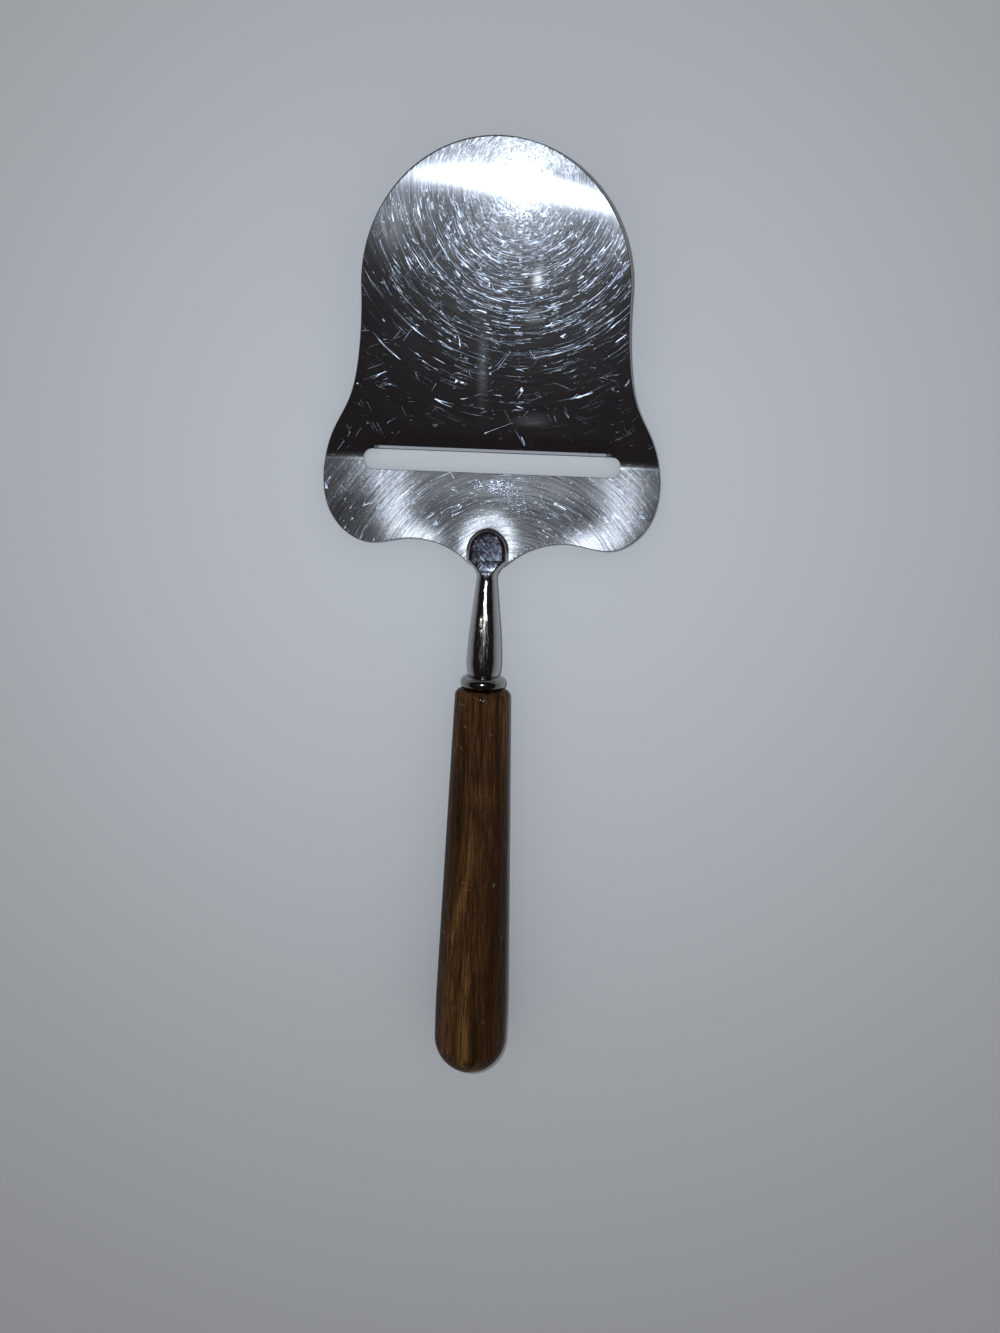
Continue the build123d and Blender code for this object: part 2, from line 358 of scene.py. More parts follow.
class Recipe:
    """Builds one material from nodes."""

    def __init__(self, name: str) -> None:
        """Makes an empty material with its output and one principled shader.

        Args:
            name: Name of the material.
        """
        self.material = bpy.data.materials.new(name)
        self.material.use_nodes = True
        self.tree = self.material.node_tree
        self.tree.nodes.clear()
        self.shader = self.tree.nodes.new("ShaderNodeBsdfPrincipled")
        output = self.tree.nodes.new("ShaderNodeOutputMaterial")
        self.tree.links.new(self.shader.outputs["BSDF"], output.inputs["Surface"])

    def feed(self, socket: Socket, value: object) -> None:
        """Links a socket to another, or sets it to a plain value.

        Args:
            socket: The input to feed.
            value: An output socket or a plain value.
        """
        if isinstance(value, bpy.types.NodeSocket):
            self.tree.links.new(value, socket)
        else:
            socket.default_value = value

    def set(self, **inputs: object) -> None:
        """Sets the shader's inputs, with _ for a space in their names."""
        for name, value in inputs.items():
            self.feed(self.shader.inputs[name.replace("_", " ")], value)

    def node(self, kind: str, out: str | int, inputs: dict[str | int, object],
             **options: object) -> Socket:
        """Adds a node.

        Args:
            kind: The node's type, without its common prefix.
            out: Name or number of the output wanted.
            inputs: Values or sockets for its inputs.
            options: The node's own settings.

        Returns:
            The output socket.
        """
        new = self.tree.nodes.new("ShaderNode" + kind)
        for name, value in options.items():
            setattr(new, name, value)
        for name, value in inputs.items():
            self.feed(new.inputs[name], value)
        return new.outputs[out]

    def math(self, kind: str, *values: object, clamp: bool = False) -> Socket:
        """One arithmetic step on one to three values."""
        return self.node("Math", 0, dict(enumerate(values)), operation=kind, use_clamp=clamp)

    def vector(self, kind: str, *values: object, out: str = "Vector") -> Socket:
        """One step of vector arithmetic."""
        return self.node("VectorMath", out, dict(enumerate(values)), operation=kind)

    def spot(self) -> Socket:
        """Places on the piece, in its own coordinates."""
        return self.node("TexCoord", "Object", {})

    def stretch(self, scale: tuple[float, float, float], turn: float = 0.0,
                shift: tuple[float, float, float] = (0.0, 0.0, 0.0)) -> Socket:
        """Places turned about the upright and then stretched.

        Args:
            scale: Factor for each direction, in patterns per metre.
            turn: Turn about the upright, in degrees.
            shift: Shift before the turn, in metres.

        Returns:
            The stretched places.
        """
        moved = self.node("Mapping", 0, {"Vector": self.spot(), "Location": shift,
                                         "Rotation": (0.0, 0.0, radians(turn))})
        return self.vector("MULTIPLY", moved, scale)

    def noise(self, at: Socket, detail: float = 2.0, rough: float = 0.5) -> Socket:
        """Soft noise of one pattern per unit of its coordinates."""
        return self.node("TexNoise", 0, {"Vector": at, "Scale": 1.0, "Detail": detail,
                                         "Roughness": rough})

    def ramp(self, value: Socket, low: float, high: float, start: float = 0.0,
             end: float = 1.0) -> Socket:
        """Carries a value from one range to another, held and eased at both ends.

        Args:
            value: The value.
            low: Where its range starts.
            high: Where its range ends.
            start: What the start becomes.
            end: What the end becomes.

        Returns:
            The carried value.
        """
        return self.node("MapRange", 0, {"Value": value, "From Min": low, "From Max": high,
                                         "To Min": start, "To Max": end},
                         interpolation_type="SMOOTHSTEP")

    def number_blend(self, share: object, first: object, second: object) -> Socket:
        """Mixes two numbers."""
        return self.node("Mix", 0, {0: share, 2: first, 3: second}, data_type="FLOAT")

    def vector_blend(self, share: object, first: object, second: object) -> Socket:
        """Mixes two vectors."""
        return self.node("Mix", 1, {0: share, 4: first, 5: second}, data_type="VECTOR")

    def blend(self, share: object, first: object, second: object) -> Socket:
        """Mixes two colours."""
        return self.node("Mix", 2, {0: share, 6: first, 7: second}, data_type="RGBA")

    def highest(self, values: list[Socket]) -> Socket:
        """The greatest of several values.

        Args:
            values: The values, at least one.

        Returns:
            The greatest.
        """
        top = values[0]
        for value in values[1:]:
            top = self.math("MAXIMUM", top, value)
        return top

    def polar(self, centre: tuple[float, float]) -> tuple[Socket, Socket]:
        """Distance from a centre and the angle round it, which is 0 towards the handle.

        Args:
            centre: Place across and along of the centre.

        Returns:
            The distance and the angle.
        """
        from_centre = self.vector("MULTIPLY", self.vector(
            "SUBTRACT", self.spot(), (*centre, 0.0)), (1.0, 1.0, 0.0))
        parts = self.tree.nodes.new("ShaderNodeSeparateXYZ")
        self.feed(parts.inputs[0], from_centre)
        back = self.math("MULTIPLY", parts.outputs["Y"], -1.0)
        return (self.vector("LENGTH", from_centre, out="Value"),
                self.math("ARCTAN2", parts.outputs["X"], back))

    def round_about(self, away: Socket, angle: Socket, grain: tuple) -> Socket:
        """Places for a pattern that runs round a centre.

        Args:
            away: Distance from the centre.
            angle: Angle round it.
            grain: Factor of the distance, factor of the angle, and a seed.

        Returns:
            The products as the first two coordinates and the seed as the third.
        """
        return self.node("CombineXYZ", 0, {"X": self.math("MULTIPLY", away, grain[0]),
                                           "Y": self.math("MULTIPLY", angle, grain[1]),
                                           "Z": grain[2]})

    def kept(self, name: str, out: str = "Fac") -> Socket:
        """A value kept on the piece's points."""
        return self.node("Attribute", out, {}, attribute_name=name)

    def bump(self, height: Socket, depth: float, strength: float = 1.0) -> None:
        """Adds relief to the shader from a height of 0..1 over the given depth."""
        self.set(Normal=self.node("Bump", 0, {"Height": height, "Distance": depth,
                                              "Strength": strength}))


@dataclass(frozen=True)
class Grain:
    """Noise with its patterns in a metre across, along and up, its detail and its roughness."""

    scale: tuple[float, float, float]
    detail: float = 3.0
    rough: float = 0.5

    def draw(self, mix: Recipe, sway: Socket | None = None) -> Socket:
        """Draws the noise.

        Args:
            mix: The recipe to draw in.
            sway: Shift of the pattern from place to place, in patterns.

        Returns:
            The noise, most of which lies between 0.3 and 0.7.
        """
        at = mix.stretch(self.scale)
        if sway is not None:
            at = mix.vector("ADD", at, sway)
        return mix.noise(at, self.detail, self.rough)


@dataclass(frozen=True)
class Scratches:
    """One family of thin broken scratches, drawn as contour lines of stretched noise.

    Spacing and length are in metres. The width is that of the noise's band, and the cover
    raises or lowers the share of the lines that is left between the breaks, which there are
    about so many of along one length. The turn is in degrees for straight scratches, and for
    round ones it is the number of patterns in a radian.
    """

    line_noise: ClassVar[tuple] = (1.0, 0.4)
    break_noise: ClassVar[tuple] = (2.0, 0.6)
    break_levels: ClassVar[tuple] = (0.62, 0.68)
    break_spread: ClassVar[float] = 0.5
    break_shift: ClassVar[tuple] = (7.3, 3.1, 5.0)
    cover_gain: ClassVar[float] = 0.3
    favour_gain: ClassVar[float] = 8.0
    spacing: float
    length: float
    width: float
    cover: float
    turn: float = 0.0
    seed: float = 0.0
    breaks: float = 0.8

    def straight(self, mix: Recipe, favour: object = 0.0) -> Socket:
        """Scratches that run in one direction.

        Args:
            mix: The recipe to draw in.
            favour: Raises or lowers the share that is scratched, from place to place.

        Returns:
            1 in a scratch and 0 between them.
        """
        across = (1.0 / self.spacing, 1.0 / self.length, 1.0 / self.length)
        return self.draw(mix, mix.stretch(across, self.turn, (self.seed, self.seed, 0.0)), favour)

    def round(self, mix: Recipe, centre: tuple[float, float], favour: object = 0.0) -> Socket:
        """Scratches that run round a centre, spaced by radius.

        Args:
            mix: The recipe to draw in.
            centre: Place across and along of the centre.
            favour: Raises or lowers the share that is scratched, from place to place.

        Returns:
            1 in a scratch and 0 between them.
        """
        away, angle = mix.polar(centre)
        at = mix.node("CombineXYZ", 0, {
            "X": mix.math("DIVIDE", away, self.spacing),
            "Y": mix.math("MULTIPLY", angle, self.turn), "Z": self.seed})
        return self.draw(mix, at, favour)

    def draw(self, mix: Recipe, at: Socket, favour: object) -> Socket:
        """Draws the contour lines and breaks them up, with pointed ends.

        Args:
            mix: The recipe to draw in.
            at: Places stretched so that a scratch is about one unit long.
            favour: Raises or lowers the share that is scratched, and widens or thins the marks.

        Returns:
            1 in a scratch and 0 between them.
        """
        off = mix.math("ABSOLUTE", mix.math("SUBTRACT", mix.noise(at, *self.line_noise), 0.5))
        spread = mix.vector("MULTIPLY", at, (self.break_spread, self.breaks, 1.0))
        *sideways, deeper = self.break_shift
        shifted = mix.vector("ADD", spread, (*sideways, self.seed + deeper))
        patches = mix.math("ADD", mix.noise(shifted, *self.break_noise), favour)
        low, high = (level - self.cover * self.cover_gain for level in self.break_levels)
        kept = mix.ramp(patches, low, high)
        wide = mix.math("MULTIPLY_ADD", favour, self.favour_gain * self.width, self.width)
        return mix.math("LESS_THAN", off, mix.math("MULTIPLY", kept, wide))


@dataclass(frozen=True)
class PolishedSheet:
    """Stainless sheet, polished along the tool and scratched by use and by rubbing clean.

    The roughness of the polish is mirror, that of a mark is core at the middle of the round
    scratches and scratch from the end of core_reach on. The film is the haze: its levels are
    its strength between the brushed lines and on them. The round scratches crowd by the
    levels over their reach. The rounds of arcs and of brushing give the patterns in a metre
    away, those in a radian, and a seed.
    """

    tone: Colour = (0.56, 0.59, 0.64, 1.0)
    cloud_tone: Colour = (0.60, 0.60, 0.62, 1.0)
    lit_tone: Colour = (0.37, 0.41, 0.48, 1.0)
    mirror: float = 0.056
    mirror_shares: tuple = (0.9, 1.1)
    scratch: float = 0.50
    core: float = 0.33
    drawn: float = 1.0
    streaks: float = 0.25
    film_rough: float = 0.40
    film_index: float = 3.0
    film_levels: tuple = (0.45, 1.55)
    bell_from: float = 43.3 * MM
    core_reach: tuple = (2.0 * MM, 9.5 * MM)
    crowd_reach: tuple = (12 * MM, 62 * MM)
    crowd_levels: tuple = (0.05, -0.12)
    scuff_levels: tuple = (0.85, 0.57)
    upright_scale: tuple = (19000.0, 1100.0, 1100.0)
    upright_turn: float = 5.0
    streak_scale: tuple = (0.12, 0.12, 1.0)
    arc_rounds: tuple = (21000.0, 40.0, 0.7)
    brushed_rounds: tuple = (3000.0, 3.0, 3.1)
    brushed_levels: tuple = (0.28, 0.72)
    scuffing: Grain = Grain((2600.0, 3400.0, 900.0), 4.0, 0.7)
    polish: Grain = Grain((4200.0, 90.0, 90.0), rough=0.6)
    cloud: Grain = Grain((130.0, 110.0, 110.0))
    cloud_levels: tuple = (0.35, 0.7)
    bell_centre: tuple = (5.1 * MM, 100.0 * MM)
    ramp_centre: tuple = (5.1 * MM, 9.6 * MM)
    bell_rounds: tuple = (
        Scratches(0.48 * MM, 0.0, 0.008, 0.28, 2.2, 1.0),
        Scratches(0.80 * MM, 0.0, 0.0055, 0.32, 3.0, 2.0),
        Scratches(0.32 * MM, 0.0, 0.008, 0.22, 6.0, 3.0))
    ramp_rounds: tuple = (
        Scratches(0.45 * MM, 0.0, 0.008, 0.10, 5.0, 4.0),
        Scratches(0.80 * MM, 0.0, 0.006, 0.16, 3.0, 5.0))
    strays: tuple = (
        Scratches(1.3 * MM, 26.0 * MM, 0.0020, 0.00, 68.0, 0.011, 4.0),
        Scratches(1.5 * MM, 30.0 * MM, 0.0020, -0.02, -74.0, 0.023, 4.0),
        Scratches(0.9 * MM, 18.0 * MM, 0.0028, -0.06, 92.0, 0.037, 8.0),
        Scratches(1.6 * MM, 30.0 * MM, 0.0022, 0.00, 40.0, 0.041, 3.0),
        Scratches(1.4 * MM, 24.0 * MM, 0.0022, 0.00, -28.0, 0.059, 3.0))

    def marked(self, mix: Recipe, at: Socket) -> Socket:
        """Fine marks that cover the share of the sheet that is kept as wear, in streaks.

        Args:
            mix: The recipe to draw in.
            at: Places stretched to the marks' spacing and length.

        Returns:
            1 on a mark and 0 between them.
        """
        streak = mix.noise(mix.vector("MULTIPLY", at, self.streak_scale), 2.0, 0.6)
        fine = mix.math("MULTIPLY_ADD", streak, self.streaks, mix.noise(at, 0.0))
        return mix.math("GREATER_THAN", fine,
                        mix.math("ADD", mix.kept("wear"), 0.5 * self.streaks))

    def make(self) -> bpy.types.Material:
        """Builds the material.

        Marks are rougher than the mirror between them and spread light across themselves. The
        haze is a wide soft lobe over both, in the coat, as strong as the sheet keeps it and
        brushed round the middle of the round scratches.

        Returns:
            The material.
        """
        mix = Recipe("polished_sheet")
        along = mix.node("SeparateXYZ", "Y", {"Vector": mix.spot()})
        on_bell = mix.math("GREATER_THAN", along, self.bell_from)
        away, angle = mix.polar(self.bell_centre)
        near_bell = mix.ramp(away, *self.crowd_reach, *self.crowd_levels)
        away_ramp, angle_ramp = mix.polar(self.ramp_centre)
        bell_lines = mix.highest([s.round(mix, self.bell_centre, near_bell)
                                  for s in self.bell_rounds])
        ramp_lines = mix.highest([s.round(mix, self.ramp_centre) for s in self.ramp_rounds])
        stray_lines = mix.highest([s.straight(mix) for s in self.strays])
        upright = self.marked(mix, mix.stretch(self.upright_scale, self.upright_turn))
        ring_away = mix.number_blend(on_bell, away_ramp, away)
        ring_angle = mix.number_blend(on_bell, angle_ramp, angle)
        arcs = self.marked(mix, mix.round_about(ring_away, ring_angle, self.arc_rounds))
        lines = mix.highest([mix.number_blend(on_bell, ramp_lines, bell_lines), stray_lines,
                             mix.math("MULTIPLY", upright, on_bell), arcs])
        scuffs = mix.math("GREATER_THAN", self.scuffing.draw(mix),
                          mix.ramp(mix.kept("scuff"), 0.0, 1.0, *self.scuff_levels))
        lines = mix.math("MAXIMUM", lines, scuffs)
        low, high = (self.mirror * share for share in self.mirror_shares)
        rough = mix.ramp(self.polish.draw(mix), *MOST_NOISE, low, high)
        mark = mix.ramp(away, *self.core_reach, self.core, self.scratch)
        rough = mix.number_blend(lines, rough, mark)
        spread = mix.vector_blend(lines, mix.kept("polish", "Vector"),
                                  mix.kept("glance", "Vector"))
        clouded = mix.ramp(self.cloud.draw(mix), *self.cloud_levels)
        tone = mix.blend(clouded, self.tone, self.cloud_tone)
        brushed = mix.noise(mix.round_about(ring_away, ring_angle, self.brushed_rounds), 3.0, 0.65)
        film = mix.math("MULTIPLY", mix.kept("haze"),
                        mix.ramp(brushed, *self.brushed_levels, *self.film_levels))
        mix.set(Base_Color=mix.blend(lines, tone, self.lit_tone), Metallic=1.0, Roughness=rough,
                Anisotropic=self.drawn, Tangent=spread, Coat_Weight=film,
                Coat_Roughness=self.film_rough, Coat_IOR=self.film_index)
        return mix.material


@dataclass(frozen=True)
class BrightSteel:
    """Bright plated steel, polished lengthwise; its ground facet is scratched.

    The roughness of the polish is mirror, that of its scratches is hair, and that of the
    facet's scratches is facet_mark. The ripple is the height of the fine relief, its levels
    are its share on plain steel and on the amber streaks, which are partly worn plating and
    partly a painted amber glint beside the lamp's streak, and facet_level is the height of the
    flat facet.
    """

    name: str = "bright_steel"
    tone: Colour = (0.41, 0.41, 0.42, 1.0)
    facet_tone: Colour = (0.40, 0.43, 0.52, 1.0)
    wear_and_glint_tone: Colour = (0.80, 0.58, 0.33, 1.0)
    mark_tone: Colour = (0.10, 0.11, 0.13, 1.0)
    mirror: float = 0.10
    mirror_shares: tuple = (0.75, 1.25)
    mark_strength: float = 0.5
    hair: float = 0.35
    facet_mark: float = 0.55
    facet_rough: tuple = (0.035, 0.055)
    drawn: float = 0.6
    ripple: float = 0.075 * MM
    ripple_levels: tuple = (0.4, 1.5)
    facet_level: float = 0.2
    tarnish_levels: tuple = (0.50, 0.62)
    polish: Grain = Grain((3800.0, 120.0, 120.0), rough=0.6)
    ground: Grain = Grain((1500.0, 1500.0, 1500.0))
    tarnish: Grain = Grain((2600.0, 260.0, 260.0))
    relief: Grain = Grain((4200.0, 230.0, 4200.0), 2.0)
    diagonals: tuple = (
        Scratches(0.24 * MM, 9.0 * MM, 0.011, 0.38, -52.0, 0.013, 3.0),
        Scratches(0.30 * MM, 9.0 * MM, 0.011, 0.30, -40.0, 0.029, 3.0),
        Scratches(0.40 * MM, 8.0 * MM, 0.008, 0.20, 38.0, 0.047, 2.0))
    hairs: tuple = (
        Scratches(0.12 * MM, 2.4 * MM, 0.020, 0.20, 0.0, 0.017),
        Scratches(0.20 * MM, 3.0 * MM, 0.020, 0.15, 4.0, 0.031))

    def make(self) -> bpy.types.Material:
        """Builds the material.

        The facet and the amber streaks, partly worn plating and partly a painted amber glint, are
        kept on the points. Where a piece keeps none of them, as the ring does, it is plain bright
        steel.

        Returns:
            The material.
        """
        mix = Recipe(self.name)
        facet = mix.kept("facet")
        diagonal = mix.highest([s.straight(mix) for s in self.diagonals])
        hair = mix.highest([s.straight(mix) for s in self.hairs])
        lines = mix.number_blend(facet, hair, diagonal)
        low, high = (self.mirror * share for share in self.mirror_shares)
        plain = mix.ramp(self.polish.draw(mix), *MOST_NOISE, low, high)
        ground = mix.ramp(self.ground.draw(mix), *MOST_NOISE, *self.facet_rough)
        marks = mix.number_blend(facet, self.hair, self.facet_mark)
        rough = mix.number_blend(lines, mix.number_blend(facet, plain, ground), marks)
        # Amber streaks: worn plating, and also a painted amber glint where the lamp's streak runs
        # down the shaft.
        worn = mix.math("MULTIPLY", mix.kept("worn"),
                        mix.ramp(self.tarnish.draw(mix), *self.tarnish_levels))
        tone = mix.blend(worn, mix.blend(facet, self.tone, self.facet_tone), self.wear_and_glint_tone)
        tone = mix.blend(mix.math("MULTIPLY", lines, self.mark_strength), tone, self.mark_tone)
        relief = mix.math("MULTIPLY", self.relief.draw(mix),
                          mix.ramp(worn, 0.0, 1.0, *self.ripple_levels))
        mix.bump(mix.number_blend(facet, relief, self.facet_level), self.ripple)
        mix.set(Base_Color=tone, Metallic=1.0, Roughness=rough, Anisotropic=self.drawn,
                Tangent=mix.kept("polish", "Vector"))
        return mix.material


@dataclass(frozen=True)
class LacqueredWood:
    """Dark brown wood with straight grain and an amber flame, under clear lacquer.

    The bend makes the growth bands sway by its reach, in patterns, and uneven is the height of
    the lacquer's relief. Levels with four numbers carry the first two, of the noise, to the
    last two, of the strength.
    """

    dark: Colour = (0.019, 0.0082, 0.0034, 1.0)
    middle: Colour = (0.062, 0.0275, 0.0103, 1.0)
    amber: Colour = (0.170, 0.0820, 0.0245, 1.0)
    gap_tone: Colour = (0.011, 0.0048, 0.0026, 1.0)
    pore_tone: Colour = (0.007, 0.003, 0.002, 1.0)
    nick_tone: Colour = (0.22, 0.15, 0.075, 1.0)
    coat: float = 0.35
    coat_rough: float = 0.10
    coat_index: float = 1.27
    uneven: float = 0.28 * MM
    fibre_depth: float = 0.02 * MM
    fibre_rough: tuple = (0.42, 0.56)
    fibre_relief: float = 0.6
    relief_strength: float = 0.35
    nick_strength: float = 0.30
    bend_scale: tuple = (60.0, 14.0, 60.0)
    bend_reach: tuple = (0.9, 0.0, 0.9)
    bands: Grain = Grain((330.0, 9.0, 330.0), rough=0.55)
    fibres: Grain = Grain((2400.0, 55.0, 2400.0), rough=0.65)
    pores: Grain = Grain((3600.0, 260.0, 3600.0), 2.0)
    patches: Grain = Grain((95.0, 11.0, 95.0), 2.0)
    flow: Grain = Grain((900.0, 420.0, 900.0), 2.0)
    growth_levels: tuple = (0.34, 0.62)
    patch_levels: tuple = (0.44, 0.66)
    flame_levels: tuple = (0.42, 0.60)
    streak_levels: tuple = (0.30, 0.55, 0.22, 0.52)
    gold_levels: tuple = (0.58, 0.74, 0.0, 0.35)
    gap_levels: tuple = (0.36, 0.66, 0.75, 0.0)
    pore_levels: tuple = (0.62, 0.72, 0.0, 0.85)
    nicks: tuple = (
        Scratches(1.9 * MM, 12.0 * MM, 0.006, 0.00, 80.0, 0.019, 4.0),
        Scratches(1.7 * MM, 14.0 * MM, 0.008, 0.04, -12.0, 0.043, 4.0))

    def make(self) -> bpy.types.Material:
        """Builds the material.

        Growth bands are noise stretched along the handle, and fibres and fine dark pores are
        thinner noise. The flame is broad noise and the streaks kept on the points, in the
        amber tone. The right flank is darkened as painted shade, together with dark spots, as kept
        on the points, and the lacquer is a little uneven.

        Returns:
            The material.
        """
        mix = Recipe("lacquered_wood")
        bend = mix.node("TexNoise", "Color", {"Vector": mix.stretch(self.bend_scale),
                                              "Scale": 1.0, "Detail": 1.0})
        bands = self.bands.draw(mix, mix.vector("MULTIPLY", bend, self.bend_reach))
        fibre = self.fibres.draw(mix)
        pores = mix.ramp(self.pores.draw(mix), *self.pore_levels)
        patches = mix.ramp(self.patches.draw(mix), *self.patch_levels)
        wood = mix.blend(mix.ramp(bands, *self.growth_levels), self.dark, self.middle)
        flame = mix.math("MULTIPLY", patches, mix.ramp(bands, *self.flame_levels))
        streak = mix.math("MULTIPLY", mix.kept("amber_streak"),
                          mix.ramp(bands, *self.streak_levels))
        wood = mix.blend(mix.math("MAXIMUM", flame, streak), wood, self.amber)
        wood = mix.blend(mix.ramp(fibre, *self.gold_levels), wood, self.amber)
        wood = mix.blend(mix.ramp(fibre, *self.gap_levels), wood, self.gap_tone)
        wood = mix.blend(pores, wood, self.pore_tone)
        # Painted shade: the right flank is blended towards the dark tone, together with the dark
        # spots.
        wood = mix.blend(mix.kept("flank_shade_and_dark_spots"), wood, self.dark)
        nicks = mix.highest([s.straight(mix) for s in self.nicks])
        wood = mix.blend(mix.math("MULTIPLY", nicks, self.nick_strength), wood, self.nick_tone)
        relief = mix.math("SUBTRACT", mix.math("MULTIPLY", fibre, self.fibre_relief), nicks)
        mix.set(Base_Color=wood, Roughness=mix.ramp(fibre, *MOST_NOISE, *self.fibre_rough),
                Coat_Weight=self.coat, Coat_Roughness=self.coat_rough, Coat_IOR=self.coat_index,
                Specular_IOR_Level=0.0)
        mix.bump(relief, self.fibre_depth, self.relief_strength)
        mix.set(Coat_Normal=mix.node("Bump", 0, {"Height": self.flow.draw(mix),
                                                 "Distance": self.uneven}))
        return mix.material


@dataclass(frozen=True)
class CuredGlue:
    """Amber glue, set hard in the bore."""

    tone: Colour = (0.42, 0.31, 0.14, 1.0)
    bubble_tone: Colour = (0.52, 0.42, 0.22, 1.0)
    rough: float = 0.45
    bubbles: Grain = Grain((900.0, 900.0, 900.0), 2.0)
    bubble_levels: tuple = (0.35, 0.65)
    bubble_depth: float = 0.05 * MM

    def make(self) -> bpy.types.Material:
        """Builds the material, with small trapped bubbles as noise.

        Returns:
            The material.
        """
        mix = Recipe("cured_glue")
        bubbles = self.bubbles.draw(mix)
        tone = mix.blend(mix.ramp(bubbles, *self.bubble_levels), self.tone, self.bubble_tone)
        mix.set(Base_Color=tone, Roughness=self.rough)
        mix.bump(bubbles, self.bubble_depth)
        return mix.material


@dataclass
class Blade(SeatedPiece):
    """The pressed sheet: bell, slot with its pressed lip, ears and ramp."""

    node = "blade"
    slot = Slot.BLADE
    finish: PolishedSheet = field(default_factory=PolishedSheet)
    bell_length: float = 63.6 * MM
    slot_gap: float = 4.6 * MM
    ramp_length: float = 20.8 * MM
    lip_length: float = 4.0 * MM
    lobe_length: float = 3.9 * MM
    ear_height: float = 15.6 * MM
    arch_height: float = 1.3 * MM
    bell_radius: float = 29.4 * MM
    lobe_spacing: float = 55.0 * MM
    arch_spacing: float = 36.0 * MM
    tongue_width: float = 9.0 * MM
    slot_length: float = 59.7 * MM
    slot_corner: float = 2.0 * MM
    lip_blend: float = 3.0 * MM
    flare_shares: tuple = ((0.106, 0.344), (0.364, 0.581), (0.742, 0.748))
    lobe_share: tuple = (0.203, 0.626)
    crease_share: float = 0.46
    sheet: float = 1.2 * MM
    bend_radius: float = 3.0 * MM
    crease_rise: float = 0.9 * MM
    bevel_width: float = 0.8 * MM
    bevel_land: float = 0.15 * MM
    bell_slope: float = radians(13.0)
    ramp_slope: float = radians(9.5)
    rim: float = 0.28 * MM
    slot_rim: float = 0.14 * MM
    band: float = 6.0 * MM
    press_ease: float = 0.7 * MM
    left_band: tuple = ((-28.5 * MM, 45.0 * MM), (-23.5 * MM, 39.5 * MM), (-22.5 * MM, 31.5 * MM),
                        (-20.5 * MM, 27.3 * MM), (-15.0 * MM, 24.8 * MM))
    right_band: tuple = ((30.5 * MM, 45.0 * MM), (30.8 * MM, 39.0 * MM), (31.0 * MM, 31.0 * MM),
                         (28.0 * MM, 26.8 * MM), (22.0 * MM, 25.0 * MM))
    band_widths: tuple = (5.2 * MM, 3.0 * MM)
    ear_smear: tuple = ((-38.5 * MM, 45.4 * MM), (-31.0 * MM, 47.0 * MM))
    smear_widths: tuple = (0.5 * MM, 0.8 * MM)
    bell_smears: tuple = (
        ((-23.0 * MM, 94.0 * MM), (7.0 * MM, 6.0 * MM), 0.22),
        ((26.0 * MM, 92.0 * MM), (4.0 * MM, 5.0 * MM), 0.20),
        ((9.0 * MM, 82.4 * MM), (0.9 * MM, 1.5 * MM), 0.80),
        ((8.6 * MM, 75.0 * MM), (1.6 * MM, 1.6 * MM), 0.14),
        ((-2.5 * MM, 64.0 * MM), (1.0 * MM, 6.5 * MM), 0.13),
        ((9.0 * MM, 53.0 * MM), (3.2 * MM, 0.7 * MM), 0.22))
    scuff_spots: tuple = (
        ((0.3 * MM, 38.2 * MM), (7.5 * MM, 2.2 * MM), 1.0),
        ((7.0 * MM, 33.5 * MM), (8.0 * MM, 4.5 * MM), 0.8))
    crease_blend: float = 3.0 * MM
    bevel_fade: float = 2.5 * MM
    wave_start: float = 8 * MM
    broad_wave: tuple = (0.022 * MM, 9.5 * MM, 13 * MM, 0.6, -0.4)
    cross_wave: tuple = (0.012 * MM, 5.1 * MM, 7.3 * MM)
    dent_depth: float = 0.10 * MM
    dent_x: float = -37.2 * MM
    dent_below_ear: float = 9 * MM
    dent_reach: tuple = (2.0 * MM, 3.2 * MM)
    polish_skew: tuple = (-8.0, -3.0)
    skew_span: float = 20 * MM
    skew_limit: float = 1.3
    past_ease: float = 5 * MM
    mark_reach: float = 7 * MM
    haze_reach: float = 13 * MM
    behind_start: float = 32 * MM
    behind_ease: float = 6 * MM
    halo_y: float = 24.5 * MM
    halo_squash: float = 0.85
    halo_radius: float = 5.0 * MM
    halo_width: float = 1.8 * MM
    mark_spread: float = 0.0764
    share_limits: tuple = (0.002, 0.85)
    # Shares and strengths: everywhere, then at the middle and past it on the bell, and behind
    # the slot (haze alone), in the wiped bands, round the pad and in the ear's smear (haze
    # alone) on the ramp.
    bell_mark_shares: tuple = (0.002, 0.09, 1.4)
    bell_haze_levels: tuple = (0.010, 0.27, 0.20)
    ramp_mark_shares: tuple = (0.012, 0.06, 0.06)
    ramp_haze_levels: tuple = (0.11, 0.15, 0.95, 0.5, 0.6)

    def __post_init__(self) -> None:
        """Works out the places along the tool from the CAD blade's box."""
        low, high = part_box("blade")
        self.ear_x, self.tip_y, self.tongue_end_y = high.x, high.y, low.y
        self.lip_y = self.tip_y - self.bell_length
        self.slot_back_y = self.lip_y - self.slot_gap
        self.tongue_y = self.slot_back_y - self.ramp_length
        self.lobe_y = self.tongue_y + self.lobe_length
        self.ear_y = self.lobe_y + self.ear_height
        self.crease_y = self.lip_y - self.slot_gap * self.crease_share
        self.shoulder_y = self.tip_y - self.bell_radius
        self.lip_start_y = self.lip_y + self.lip_length
        self.slot_half = self.slot_length / 2
        self.lip_slope = atan2(self.sole_line(self.lip_start_y), self.lip_length)

    def sole_line(self, y: float) -> float:
        """Height of the bell's lower face, before the lip is pressed."""
        return self.crease_rise + (y - self.crease_y) * tan(self.bell_slope)

